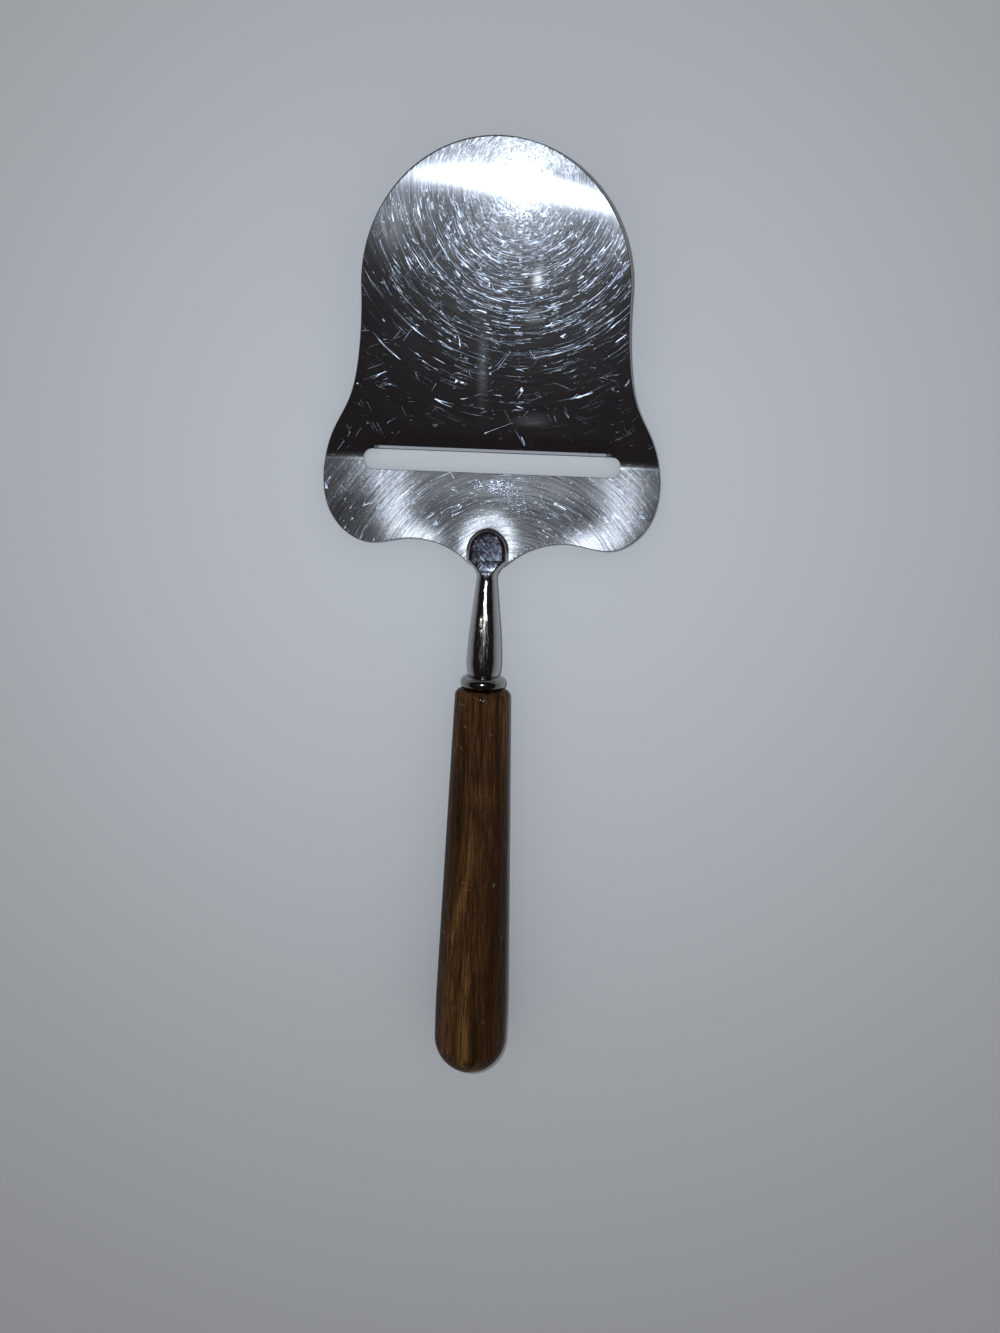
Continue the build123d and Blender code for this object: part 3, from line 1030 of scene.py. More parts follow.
    def fold(self, y: Points, lift: float) -> Points:
        """Height of a face of the folded sheet: two straight flanks joined by an arc.

        Args:
            y: Places along the tool.
            lift: Distance of the face above the lower one, across the sheet.

        Returns:
            The heights.
        """
        bell, ramp = self.bell_slope, self.ramp_slope
        outer = self.bend_radius + self.sheet
        run = outer * tan((bell + ramp) / 2)
        middle_y = self.crease_y + run * cos(bell) - outer * sin(bell)
        middle_z = self.crease_rise + run * sin(bell) + outer * cos(bell)
        radius = outer - lift
        front = self.crease_rise + (y - self.crease_y) * tan(bell) + lift / cos(bell)
        back = self.crease_rise + (self.crease_y - y) * tan(ramp) + lift / cos(ramp)
        reach = np.clip(y - middle_y, -radius * sin(ramp), radius * sin(bell))
        arc = middle_z - np.sqrt(radius**2 - reach**2)
        past_arc = np.where(y < middle_y - radius * sin(ramp), back, arc)
        return np.where(y > middle_y + radius * sin(bell), front, past_arc)

    def press(self, x: Points, y: Points, lift: float) -> Points:
        """Depth to which the lip is pressed down in front of the slot.

        It grows in line with the way back from the lip's start, after a parabola that eases it
        in, and fades out near the ends of the slot.

        Args:
            x: Places across.
            y: Places along.
            lift: Distance of the face above the lower one.

        Returns:
            The depths.
        """
        steeper = tan(self.lip_slope) - tan(self.bell_slope)
        thicker = 1 / cos(self.lip_slope) - 1 / cos(self.bell_slope)
        start = self.lip_start_y - lift * thicker / steeper
        way = np.minimum(start - y, start - self.lip_y)
        eased = (way + self.press_ease) ** 2 / (4 * self.press_ease)
        run = np.where(way > self.press_ease, way, np.where(way < -self.press_ease, 0.0, eased))
        fade = smooth((self.slot_half - np.abs(x)) / self.lip_blend)
        return np.where(y > self.lip_y - self.slot_gap / 2, run * steeper * fade, 0.0)

    def unevenness(self, x: Points, y: Points) -> Points:
        """Slight waves and a dent of the sheet: long crossed sines and one round hollow.

        Args:
            x: Places across.
            y: Places along.

        Returns:
            The lift of both faces.
        """
        inner = smooth((y - self.lip_start_y) / self.wave_start)
        height, wide, long, shift_x, shift_y = self.broad_wave
        waves = height * inner * np.sin(x / wide + shift_x) * np.sin(y / long + shift_y)
        height, wide, long = self.cross_wave
        waves += height * inner * np.sin(x / wide - y / long)
        dent = hill(x, y, (self.dent_x, self.ear_y - self.dent_below_ear), self.dent_reach)
        return waves - self.dent_depth * dent

    def top(self, x: Points, y: Points) -> Points:
        """Height of the upper face, with the ground bevel behind the cutting edge.

        Args:
            x: Places across.
            y: Places along.

        Returns:
            The heights: where the bevel's plane lies lower, the face follows it.
        """
        height = self.fold(y, self.sheet) - self.press(x, y, self.sheet) + self.unevenness(x, y)
        bevel_top = self.bevel_width * tan(self.lip_slope) + self.sheet / cos(self.lip_slope)
        steep = (bevel_top - self.bevel_land) / self.bevel_width
        plane = self.bevel_land + (y - self.lip_y) * steep
        fade = smooth((self.slot_half - self.slot_corner - np.abs(x)) / self.bevel_fade)
        near = (y > self.lip_y - self.slot_gap / 2) * fade
        return height - near * np.maximum(height - plane, 0.0)

    def sole(self, x: Points, y: Points) -> Points:
        """Height of the lower face."""
        height = self.fold(y, 0.0) - self.press(x, y, 0.0) + self.unevenness(x, y)
        return np.maximum(height, 0.0)

    def outline(self) -> Points:
        """Right half of the plan outline, from the tip round the ear to the tongue.

        A quarter circle forms the bell, clamped cubics the flare, the ear, the arch and the
        tongue, and an arc of a circle the bite beside the tongue.

        Returns:
            Rows across and along.
        """
        turn = np.linspace(0.0, np.pi / 2, 160)
        bell = np.stack([self.bell_radius * np.sin(turn),
                         self.shoulder_y + self.bell_radius * np.cos(turn)], axis=1)
        wide, long = self.ear_x - self.bell_radius, self.shoulder_y - self.ear_y
        through = [(self.bell_radius + a * wide, self.shoulder_y - b * long)
                   for a, b in self.flare_shares]
        flare = clamped_spline([(self.bell_radius, self.shoulder_y), *through,
                                (self.ear_x, self.ear_y)], (0, -1), (0, -1), 160)
        lobe_x = self.lobe_spacing / 2
        lobe = clamped_spline([(self.ear_x, self.ear_y),
                               (self.ear_x - self.lobe_share[0] * (self.ear_x - lobe_x),
                                self.ear_y - self.lobe_share[1] * self.ear_height),
                               (lobe_x, self.lobe_y)], (0, -1), (-1, 0), 120)
        arch_x, arch_y = self.arch_spacing / 2, self.lobe_y + self.arch_height
        arch = clamped_spline([(lobe_x, self.lobe_y), (arch_x, arch_y)], (-1, 0), (-1, 0), 60)
        across, down = arch_x - self.tongue_width / 2, arch_y - self.tongue_y
        radius = (across**2 + down**2) / (2 * down)
        swing = np.linspace(0.0, atan2(across, radius - down), 80)
        bite = np.stack([arch_x - radius * np.sin(swing),
                         arch_y - radius + radius * np.cos(swing)], axis=1)
        leave = (-cos(swing[-1]), -sin(swing[-1]))
        tongue = clamped_spline([tuple(bite[-1]), (0.0, self.tongue_end_y)], leave, (-1, 0), 40)
        return np.concatenate([bell, flare[1:], lobe[1:], arch[1:], bite[1:], tongue[1:]])

    def slot_line(self) -> Points:
        """Right half of the slot's outline, from the lip's middle to the back's middle.

        Returns:
            Rows across and along: two straight edges, joined by quarter circles.
        """
        inner, corner = self.slot_half - self.slot_corner, self.slot_corner
        turn = np.linspace(0.0, np.pi / 2, 24)
        front = np.stack([inner + corner * np.sin(turn),
                          self.lip_y - corner + corner * np.cos(turn)], axis=1)
        back = np.stack([inner + corner * np.cos(turn),
                         self.slot_back_y + corner - corner * np.sin(turn)], axis=1)
        return np.concatenate([[(0.0, self.lip_y)], front, back, [(0.0, self.slot_back_y)]])

    def loops(self) -> tuple[Points, Points]:
        """The slot and the rim as closed loops whose points face each other.

        Both halves are cut at matching places, before and after the slot's end, and each
        stretch is divided evenly over its length.

        Returns:
            The slot's loop and the rim's loop.
        """
        counts, slot_cuts, rim_cuts = (150, 64, 110), (0.445, 0.555), (0.545, 0.70)
        stretches = []
        for cuts in (slot_cuts, rim_cuts):
            ends = (0.0, *cuts, 1.0)
            parts = [np.linspace(ends[k], ends[k + 1], counts[k], endpoint=False) for k in range(3)]
            stretches.append(np.concatenate([*parts, [1.0]]))
        loops = []
        for half, shares in ((self.slot_line(), stretches[0]), (self.outline(), stretches[1])):
            right = resample(half, shares)
            left = right[-2:0:-1] * (-1.0, 1.0)
            loops.append(np.concatenate([right, left]))
        return loops[0], loops[1]

    def build(self) -> bpy.types.Object:
        """Carries the sheet's closed section round the slot.

        The section runs out over the top, round the rim, back along the sole and up the slot's
        wall. Near the slot its points keep their distance from the slot's edge, and farther out
        they divide the way to the rim.

        Returns:
            The blade.
        """
        slot, rim = self.loops()
        slot_out, rim_out = outward(slot), outward(rim)
        fine = np.array([0.14, 0.3, 0.45, 0.6, 0.72, 0.78, 0.82, 0.9, 1.1, 1.4, 1.8, 2.2, 2.6, 2.9,
                         3.2, 3.5, 3.8, 4.1, 4.4, 4.8, 5.4, 6.0]) * MM
        edge = rim - rim_out * self.rim
        from_band = slot + slot_out * self.band
        far = np.sort(np.append(np.linspace(0.0, 1.0, 41)[1:], 0.997))
        near_xy = slot[:, None] + slot_out[:, None] * fine[None, :, None]
        far_xy = from_band[:, None] + (edge - from_band)[:, None] * far[None, :, None]
        flat = np.concatenate([near_xy, far_xy], axis=1)
        over = np.dstack([flat, self.top(flat[..., 0], flat[..., 1])])
        under = np.dstack([flat, self.sole(flat[..., 0], flat[..., 1])])[:, ::-1]
        turn = np.linspace(0.0, np.pi / 2, 6)
        ends = []
        for line, away, start, radius in ((rim, rim_out, edge, self.rim),
                                          (slot, -slot_out, near_xy[:, 0], self.slot_rim)):
            high, low = self.top(start[:, 0], start[:, 1]), self.sole(start[:, 0], start[:, 1])
            small = np.minimum(radius, 0.4 * (high - low))[:, None]
            step = away[:, None] * (np.sin(turn)[None, :, None] - 1.0) * radius
            plan = line[:, None] + step
            drop = small * (1.0 - np.cos(turn))[None, :]
            upper = np.dstack([plan, high[:, None] - drop])[:, 1:]
            lower = np.dstack([plan, low[:, None] + drop])[:, :0:-1]
            ends.append((upper, lower))
        outer = np.concatenate(ends[0], axis=1)
        inner = np.concatenate([ends[1][0], ends[1][1]], axis=1)[:, ::-1]
        sheet = Patchwork()
        sheet.add(np.concatenate([over, outer, under, inner], axis=1), True, True)
        piece = sheet.sew("steel_blade")
        self.comb(piece)
        return piece

    def on_bell(self, y: Points) -> Points:
        """1 on the bell and 0 on the ramp, eased over the crease."""
        return smooth((y - self.crease_y + self.crease_blend / 2) / self.crease_blend)

    def wear(self, x: Points, y: Points) -> tuple[Points, Points]:
        """How densely the blade is marked, and how hazy it is.

        On the bell both fall off exponentially from the middle of the round scratches, past
        which the marks are about 2.4 times as dense and the haze is stronger, and a few smears
        are hazier. On the ramp both are strongest in the two wiped bands and round the neck's
        pad. The marks' share c is kept as the level above which a bell-shaped noise gives that
        share, 0.5 + 0.0764 ln((1 - c) / c).

        Args:
            x: Places across.
            y: Places along.

        Returns:
            The noise level of the marks and the strength of the haze, for each place.
        """
        on_bell = self.on_bell(y)
        centre_x, centre_y = self.finish.bell_centre
        away = np.hypot(x - centre_x, y - centre_y)
        past = smooth((y - centre_y) / self.past_ease)
        band = np.maximum(trail(x, y, self.left_band, self.band_widths),
                          trail(x, y, self.right_band, self.band_widths))
        from_pad = np.hypot(x, (y - self.halo_y) * self.halo_squash)
        halo = np.exp(-((from_pad - self.halo_radius) / self.halo_width) ** 2)
        behind = smooth((y - self.behind_start) / self.behind_ease)
        plain, middle, farther = self.bell_mark_shares
        bell_marks = middle * np.exp(-away / self.mark_reach) * (1.0 + farther * past) + plain
        plain, wiped, ringed = self.ramp_mark_shares
        ramp_marks = plain + wiped * band + ringed * halo
        share = bell_marks * on_bell + ramp_marks * (1 - on_bell)
        share = np.clip(share, *self.share_limits)
        plain, middle, farther = self.bell_haze_levels
        bell_haze = plain + middle * np.exp(-away / self.haze_reach) + farther * past
        bell_haze += hills(x, y, self.bell_smears)
        plain, rear, wiped, ringed, smeared = self.ramp_haze_levels
        ramp_haze = plain + rear * behind + wiped * band + ringed * halo
        ramp_haze += smeared * trail(x, y, self.ear_smear, self.smear_widths)
        haze = np.clip(bell_haze * on_bell + ramp_haze * (1 - on_bell), 0.0, 1.0)
        return 0.5 + self.mark_spread * np.log((1 - share) / share), haze

    def comb(self, piece: bpy.types.Object) -> None:
        """Keeps the wear on the points, for the finish to read.

        polish is the direction across the polish lines, a little askew on the bell. glance
        points away from the centre of the round scratches. wear is the level of noise above
        which there is a fine mark, haze is the strength of the dull film, and scuff is 1 on the
        worn patch behind the slot.

        Args:
            piece: The blade.
        """
        spots = places(piece)
        x, y = spots[:, 0], spots[:, 1]
        bell_x, bell_y = self.finish.bell_centre
        ramp_x, ramp_y = self.finish.ramp_centre
        on_bell = self.on_bell(y)
        ramp_way = unit(np.stack([x - ramp_x, y - ramp_y, 0 * x], axis=1))
        bell_way = unit(np.stack([x - bell_x, y - bell_y, 0 * x], axis=1))
        askew, growth = self.polish_skew
        beside = np.clip((x - bell_x) / self.skew_span, -self.skew_limit, self.skew_limit)
        skew = np.radians(askew + growth * beside)
        across = np.stack([np.cos(skew), np.sin(skew), 0 * x], axis=1)
        level, haze = self.wear(x, y)
        share = on_bell[:, None]
        note(piece, "polish", across * share + (1 - share) * (1.0, 0.0, 0.0))
        note(piece, "glance", bell_way * share + ramp_way * (1 - share))
        note(piece, "wear", level)
        note(piece, "haze", haze)
        worn = np.clip(hills(x, y, self.scuff_spots), 0.0, 1.0)
        note(piece, "scuff", worn * (1 - on_bell))


@dataclass
class Shaft:
    """The tool's own axis, on which neck, ring and handle are turned."""

    lean: float = radians(1.0)
    ring_thickness: float = 3.2 * MM
    around: int = 144

    def __post_init__(self) -> None:
        """Finds the axis from the middle of the CAD collar ring's box."""
        low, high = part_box("collar_ring")
        middle = (np.array(low) + np.array(high)) / 2
        self.along = np.array([0.0, -cos(self.lean), sin(self.lean)])
        self.up = np.array([0.0, sin(self.lean), cos(self.lean)])
        self.across = np.array([1.0, 0.0, 0.0])
        self.start = middle - self.along * self.ring_thickness / 2

    def place(self, station: Points, x: Points, height: Points) -> Points:
        """Places given by station along the axis, across it and above it."""
        return (self.start + station[..., None] * self.along + x[..., None] * self.across
                + height[..., None] * self.up)

    def turned(self, profile: Points) -> Points:
        """Surface of revolution: each station and radius carried round the axis.

        Args:
            profile: Rows of station along the axis and radius.

        Returns:
            A grid with one row for each station.
        """
        angle = np.linspace(0.0, 2 * np.pi, self.around, endpoint=False)[None, :]
        radius = profile[:, 1:]
        return self.place(profile[:, :1] + 0 * angle, radius * np.sin(angle),
                          radius * np.cos(angle))

    def way_round(self, spots: Points) -> Points:
        """Direction round the axis at each place: the axis crossed with the way out from it.

        Args:
            spots: The places, one row each.

        Returns:
            One direction of length 1 for each place.
        """
        away = spots - self.start
        away -= (away @ self.along)[:, None] * self.along
        return unit(np.cross(self.along, away))


@dataclass
class Neck(SeatedPiece):
    """The forged neck: pad with its ground facet, shoulders, shaft and hidden tang."""

    node = "neck"
    slot = Slot.NECK
    blade: Blade
    shaft: Shaft
    finish: BrightSteel = field(default_factory=BrightSteel)
    pad_length: float = 8.3 * MM
    pad_width: float = 9.8 * MM
    pad_thickness: float = 3.2 * MM
    pad_shoulder: float = 0.6 * MM
    nose_share: tuple = (0.91, 0.58)
    rim_width: float = 1.5 * MM
    rim_height: float = 1.9 * MM
    tongue_cover: float = 1.0 * MM
    root_station: float = -22.9 * MM
    root_radius: float = 2.35 * MM
    bulge_station: float = -3.4 * MM
    bulge_radius: float = 4.1 * MM
    end_radius: float = 3.625 * MM
    edge_break: float = 0.12 * MM
    flare_width: float = 5.6 * MM
    flare_height: float = 4.7 * MM
    flare_corner: float = 2.2 * MM
    tang_radius: float = 2.5 * MM
    tang_depth: float = 46.0 * MM
    tang_chamfer: float = 0.8 * MM
    root_slopes: tuple = (1.05, 0.25)
    facet_depth: float = 0.06 * MM
    facet_ease: float = 0.04 * MM
    facet_end: float = 4.6 * MM
    facet_end_ease: float = 0.4 * MM
    wear_and_glint_stations: tuple = (-17 * MM, -3.0 * MM)
    wear_and_glint_eases: tuple = (5 * MM, 2 * MM)
    wear_and_glint_side: float = 0.8 * MM
    wear_and_glint_reach: float = 0.5 * MM
    facet_points: int = 13
    wall_points: int = 34
    belly_points: int = 16

    def __post_init__(self) -> None:
        """Lays the pad's plane on the ramp."""
        slope = self.blade.ramp_slope
        height = float(self.blade.fold(np.array(self.blade.tongue_y), self.blade.sheet))
        self.seat = np.array([0.0, self.blade.tongue_y, height])
        self.forward = np.array([0.0, cos(slope), -sin(slope)])
        self.upward = np.array([0.0, sin(slope), cos(slope)])
        self.sideways = np.array([1.0, 0.0, 0.0])

    def on_ramp(self, x: Points, forward: Points, height: Points) -> Points:
        """Places given across, forward along the ramp from the tongue's corner, and above it."""
        return (self.seat + x[..., None] * self.sideways + forward[..., None] * self.forward
                + height[..., None] * self.upward)

    def half_section(self, facet: float, wall: Points, belly: Points) -> Points:
        """Right half of a section, always with the same number of points in each part.

        Args:
            facet: Half the facet's width; the facet lies at the first height of the wall.
            wall: Rows across and up, from the facet's edge down to the lower corner.
            belly: Rows across and up, from the lower corner to the middle.

        Returns:
            Rows across and up, from the facet's middle to the bottom's middle.
        """
        flat = np.linspace(0.0, facet, self.facet_points)[:-1]
        top = np.stack([flat, np.full(len(flat), wall[0, 1])], axis=1)
        side = resample(wall, np.linspace(0.0, 1.0, self.wall_points))
        under = resample(belly, np.linspace(0.0, 1.0, self.belly_points))[1:]
        return np.concatenate([top, side, under])

    def pad_section(self) -> Points:
        """Half section of the pad: facet, quarter ellipse, upright wall and flat bottom.

        Returns:
            Rows across and up.
        """
        turn = np.linspace(np.pi / 2, 0.0, 40)
        half = self.pad_width / 2
        rounding = np.stack([half - self.rim_width * (1 - np.cos(turn)),
                             self.pad_thickness - self.rim_height * (1 - np.sin(turn))], axis=1)
        corner = np.array([[half, 0.0]])
        return self.half_section(half - self.rim_width, np.concatenate([rounding, corner]),
                                 np.concatenate([corner, [(0.0, 0.0)]]))

    def cut_section(self, size: tuple[float, float, float], facet: float) -> Points:
        """Half section of an oblong with round corners, cut flat by the facet.

        Args:
            size: Half its width, half its height and the radius of its corners.
            facet: Height of the facet above its middle.

        Returns:
            The half section about its own middle.
        """
        wide, high, corner = size
        turn = np.linspace(0.0, np.pi / 2, 200)
        upper = np.stack([wide - corner + corner * np.sin(turn),
                          high - corner + corner * np.cos(turn)], axis=1)
        upper = np.concatenate([[(0.0, high)], upper])
        dense = resample(upper, np.linspace(0.0, 1.0, 1500))
        kept = dense[dense[:, 1] <= facet]
        lower = (upper * (1.0, -1.0))[::-1]
        split = 100
        facet_half = float(kept[0, 0]) if len(kept) < len(dense) else 0.0
        return self.half_section(facet_half, np.concatenate([kept, lower[:split]]),
                                 lower[split - 1:])

    def whole(self, half: Points) -> Points:
        """Both halves of a section, as one closed row of points."""
        mirrored = half[..., -2:0:-1, :] * np.array([-1.0] + [1.0] * (half.shape[-1] - 1))
        return np.concatenate([half, mirrored], axis=-2)

    def nose(self, section: Points) -> Points:
        """The pad's rounded front: the section carried round the front's arch.

        The arch is a clamped cubic from the widest place to the tip. Every point of the section
        follows it, drawn in by the point's inset; points of facet and bottom shrink towards
        the middle instead.

        Args:
            section: Half section of the pad.

        Returns:
            A grid with one row for each place round the arch.
        """
        half, length = self.pad_width / 2, self.pad_length - self.pad_shoulder
        side = clamped_spline([(half, 0.0), (self.nose_share[0] * half,
                                             self.nose_share[1] * length), (0.0, length)],
                              (0, 1), (-1, 0), 400)
        right = resample(side, np.linspace(0.0, 1.0, 48))
        arch = np.concatenate([right, right[-2::-1] * (-1.0, 1.0)])
        along = np.gradient(arch, axis=0)
        out = np.stack([along[:, 1], -along[:, 0]], axis=1)
        out /= np.linalg.norm(out, axis=1, keepdims=True)
        out[0], out[-1] = (1.0, 0.0), (-1.0, 0.0)
        x, height = section[:, 0], section[:, 1]
        walls = slice(self.facet_points - 1, self.facet_points + self.wall_points - 1)
        inset, shrink = np.zeros(len(x)), np.ones(len(x))
        inset[walls] = half - x[walls]
        inset[:walls.start] = self.rim_width
        shrink[:walls.start] = x[:walls.start] / (half - self.rim_width)
        shrink[walls.stop:] = x[walls.stop:] / half
        plan = arch[:, None] - out[:, None] * inset[None, :, None]
        plan = plan * shrink[None, :, None]
        return self.on_ramp(plan[..., 0], self.pad_shoulder + plan[..., 1],
                            height[None] + 0 * plan[..., 0])

    def shoulders(self, section: Points) -> Points:
        """The lofted part behind the pad.

        Each point follows the parabola through its places in three sections: the pad's own, an
        oblong half way and the shaft's root circle. Where the blade's tongue lies below, the
        points are held above the ramp.

        Args:
            section: Half section of the pad.

        Returns:
            A grid with one row for each place, from the pad to the root.
        """
        first = self.on_ramp(section[:, 0], np.full(len(section), self.pad_shoulder),
                             section[:, 1])
        middle_1 = self.on_ramp(np.array(0.0), np.array(self.pad_shoulder),
                                np.array(self.pad_thickness / 2))
        middle_3 = self.shaft.start + self.root_station * self.shaft.along
        middle_2 = (middle_1 + middle_3) / 2
        facet_point = self.seat + self.pad_thickness * self.upward
        facet_2 = (facet_point - middle_2) @ self.upward / self.upward[2]
        flare = self.cut_section((self.flare_width / 2, self.flare_height / 2, self.flare_corner),
                                 facet_2)
        second = middle_2 + flare @ np.array([[1.0, 0.0, 0.0], [0.0, 0.0, 1.0]])
        root = self.cut_section((self.root_radius,) * 3, self.root_radius)
        third = self.shaft.place(np.full(len(root), self.root_station), root[:, 0], root[:, 1])
        self.root_half = root
        u = np.linspace(0.0, 1.0, 72)[:, None, None]
        grid = (2 * (u - 0.5) * (u - 1) * first - 4 * u * (u - 1) * second
                + 2 * u * (u - 0.5) * third)
        ahead, above = (grid - self.seat) @ self.forward, (grid - self.seat) @ self.upward
        lift = np.where(ahead > -self.tongue_cover, np.maximum(-above, 0.0), 0.0)
        return self.whole(grid + lift[..., None] * self.upward)

    def stem(self) -> Points:
        """The turned shaft and tang, on the root circle's own points.

        The cone is the cubic from root to bulge with set end slopes, and its end is an arc of
        a circle that starts level at the bulge.

        Returns:
            A grid with one row for each station.
        """
        share = np.linspace(0.0, 1.0, 90)[1:]
        start, stop = self.root_slopes
        growth = (start * (share**3 - 2 * share**2 + share) + 3 * share**2 - 2 * share**3
                  + stop * (share**3 - share**2))
        cone = np.stack([self.root_station + share * (self.bulge_station - self.root_station),
                         self.root_radius + growth * (self.bulge_radius - self.root_radius)],
                        axis=1)
        run, fall = -self.bulge_station, self.bulge_radius - self.end_radius
        arc_radius = (run**2 + fall**2) / (2 * fall)
        way = np.linspace(0.0, run - self.edge_break, 24)[1:]
        bead = np.stack([self.bulge_station + way,
                         self.bulge_radius - arc_radius + np.sqrt(arc_radius**2 - way**2)], axis=1)
        turn = np.linspace(0.0, np.pi / 2, 6)[1:]
        edge = bead[-1] + self.edge_break * np.stack([np.sin(turn), np.cos(turn) - 1], axis=1)
        tang_end = self.shaft.ring_thickness + self.tang_depth
        tang = np.array([(0.0, self.tang_radius), (tang_end - self.tang_chamfer, self.tang_radius),
                         (tang_end, self.tang_radius - self.tang_chamfer), (tang_end, 0.0)])
        profile = np.concatenate([[(self.root_station, self.root_radius)], cone, bead, edge, tang])
        ring = self.whole(self.root_half) / self.root_radius
        station, radius = profile[:, :1], profile[:, 1:]
        across, up = ring[None, :, 0], ring[None, :, 1]
        return self.shaft.place(station + 0 * across, radius * across, radius * up)

    def build(self) -> bpy.types.Object:
        """Sews nose, shoulders and stem into one closed piece.

        Returns:
            The neck.
        """
        section = self.pad_section()
        steel = Patchwork()
        steel.add(self.nose(section))
        steel.add(self.shoulders(section), close_columns=True)
        steel.add(self.stem(), close_columns=True)
        piece = steel.sew("steel_neck")
        self.comb(piece)
        return piece

    def comb(self, piece: bpy.types.Object) -> None:
        """Keeps the way along the shaft, the facet and the amber streaks on the points.

        The facet is the top skin of the pad. The amber streaks, partly worn plating and partly a
        painted amber glint beside the lamp's streak, run along both sides of the shaft's middle,
        between two stations, and fall off from their line by a Gaussian.

        Args:
            piece: The neck.
        """
        spots = places(piece)
        above = (spots - self.seat) @ self.upward
        ahead = (spots - self.seat) @ self.forward
        level = smooth((above - self.pad_thickness + self.facet_depth) / self.facet_ease)
        facet = level * smooth((ahead + self.facet_end) / self.facet_end_ease)
        note(piece, "facet", facet)
        note(piece, "polish", np.tile(self.shaft.along, (len(spots), 1)))
        station = (spots - self.shaft.start) @ self.shaft.along
        # Amber streaks on both sides of the shaft's middle: worn plating and a painted amber glint
        # beside the lamp's streak.
        (start, stop), (start_ease, stop_ease) = self.wear_and_glint_stations, self.wear_and_glint_eases
        worn = smooth((station - start) / start_ease) * smooth((stop - station) / stop_ease)
        beside = np.exp(-((np.abs(spots[:, 0]) - self.wear_and_glint_side) / self.wear_and_glint_reach) ** 2)
        note(piece, "worn", worn * beside * (1 - facet))


@dataclass
class CollarRing(SeatedPiece):
    """The bead between neck and handle."""

    node = "collar_ring"
    slot = Slot.RING
    shaft: Shaft
    finish: BrightSteel = BrightSteel("bead_steel", tone=(0.30, 0.30, 0.28, 1.0), mirror=0.085,
                                      hair=0.2, ripple=0.0)
    diameter: float = 10.7 * MM
    bore_radius: float = 2.55 * MM

    def build(self) -> bpy.types.Object:
        """Turns a half-round rim on a flat-sided ring.

        Returns:
            The ring.
        """
        rim = self.shaft.ring_thickness / 2
        turn = np.linspace(np.pi, 0.0, 49)
        outer = np.stack([rim + rim * np.cos(turn),
                          self.diameter / 2 - rim + rim * np.sin(turn)], axis=1)
        inner = np.array([(2 * rim, self.bore_radius), (0.0, self.bore_radius)])
        ring = Patchwork()
        ring.add(self.shaft.turned(np.concatenate([outer, inner])), True, True)
        piece = ring.sew("steel_collar_ring")
        note(piece, "polish", self.shaft.way_round(places(piece)))
        return piece


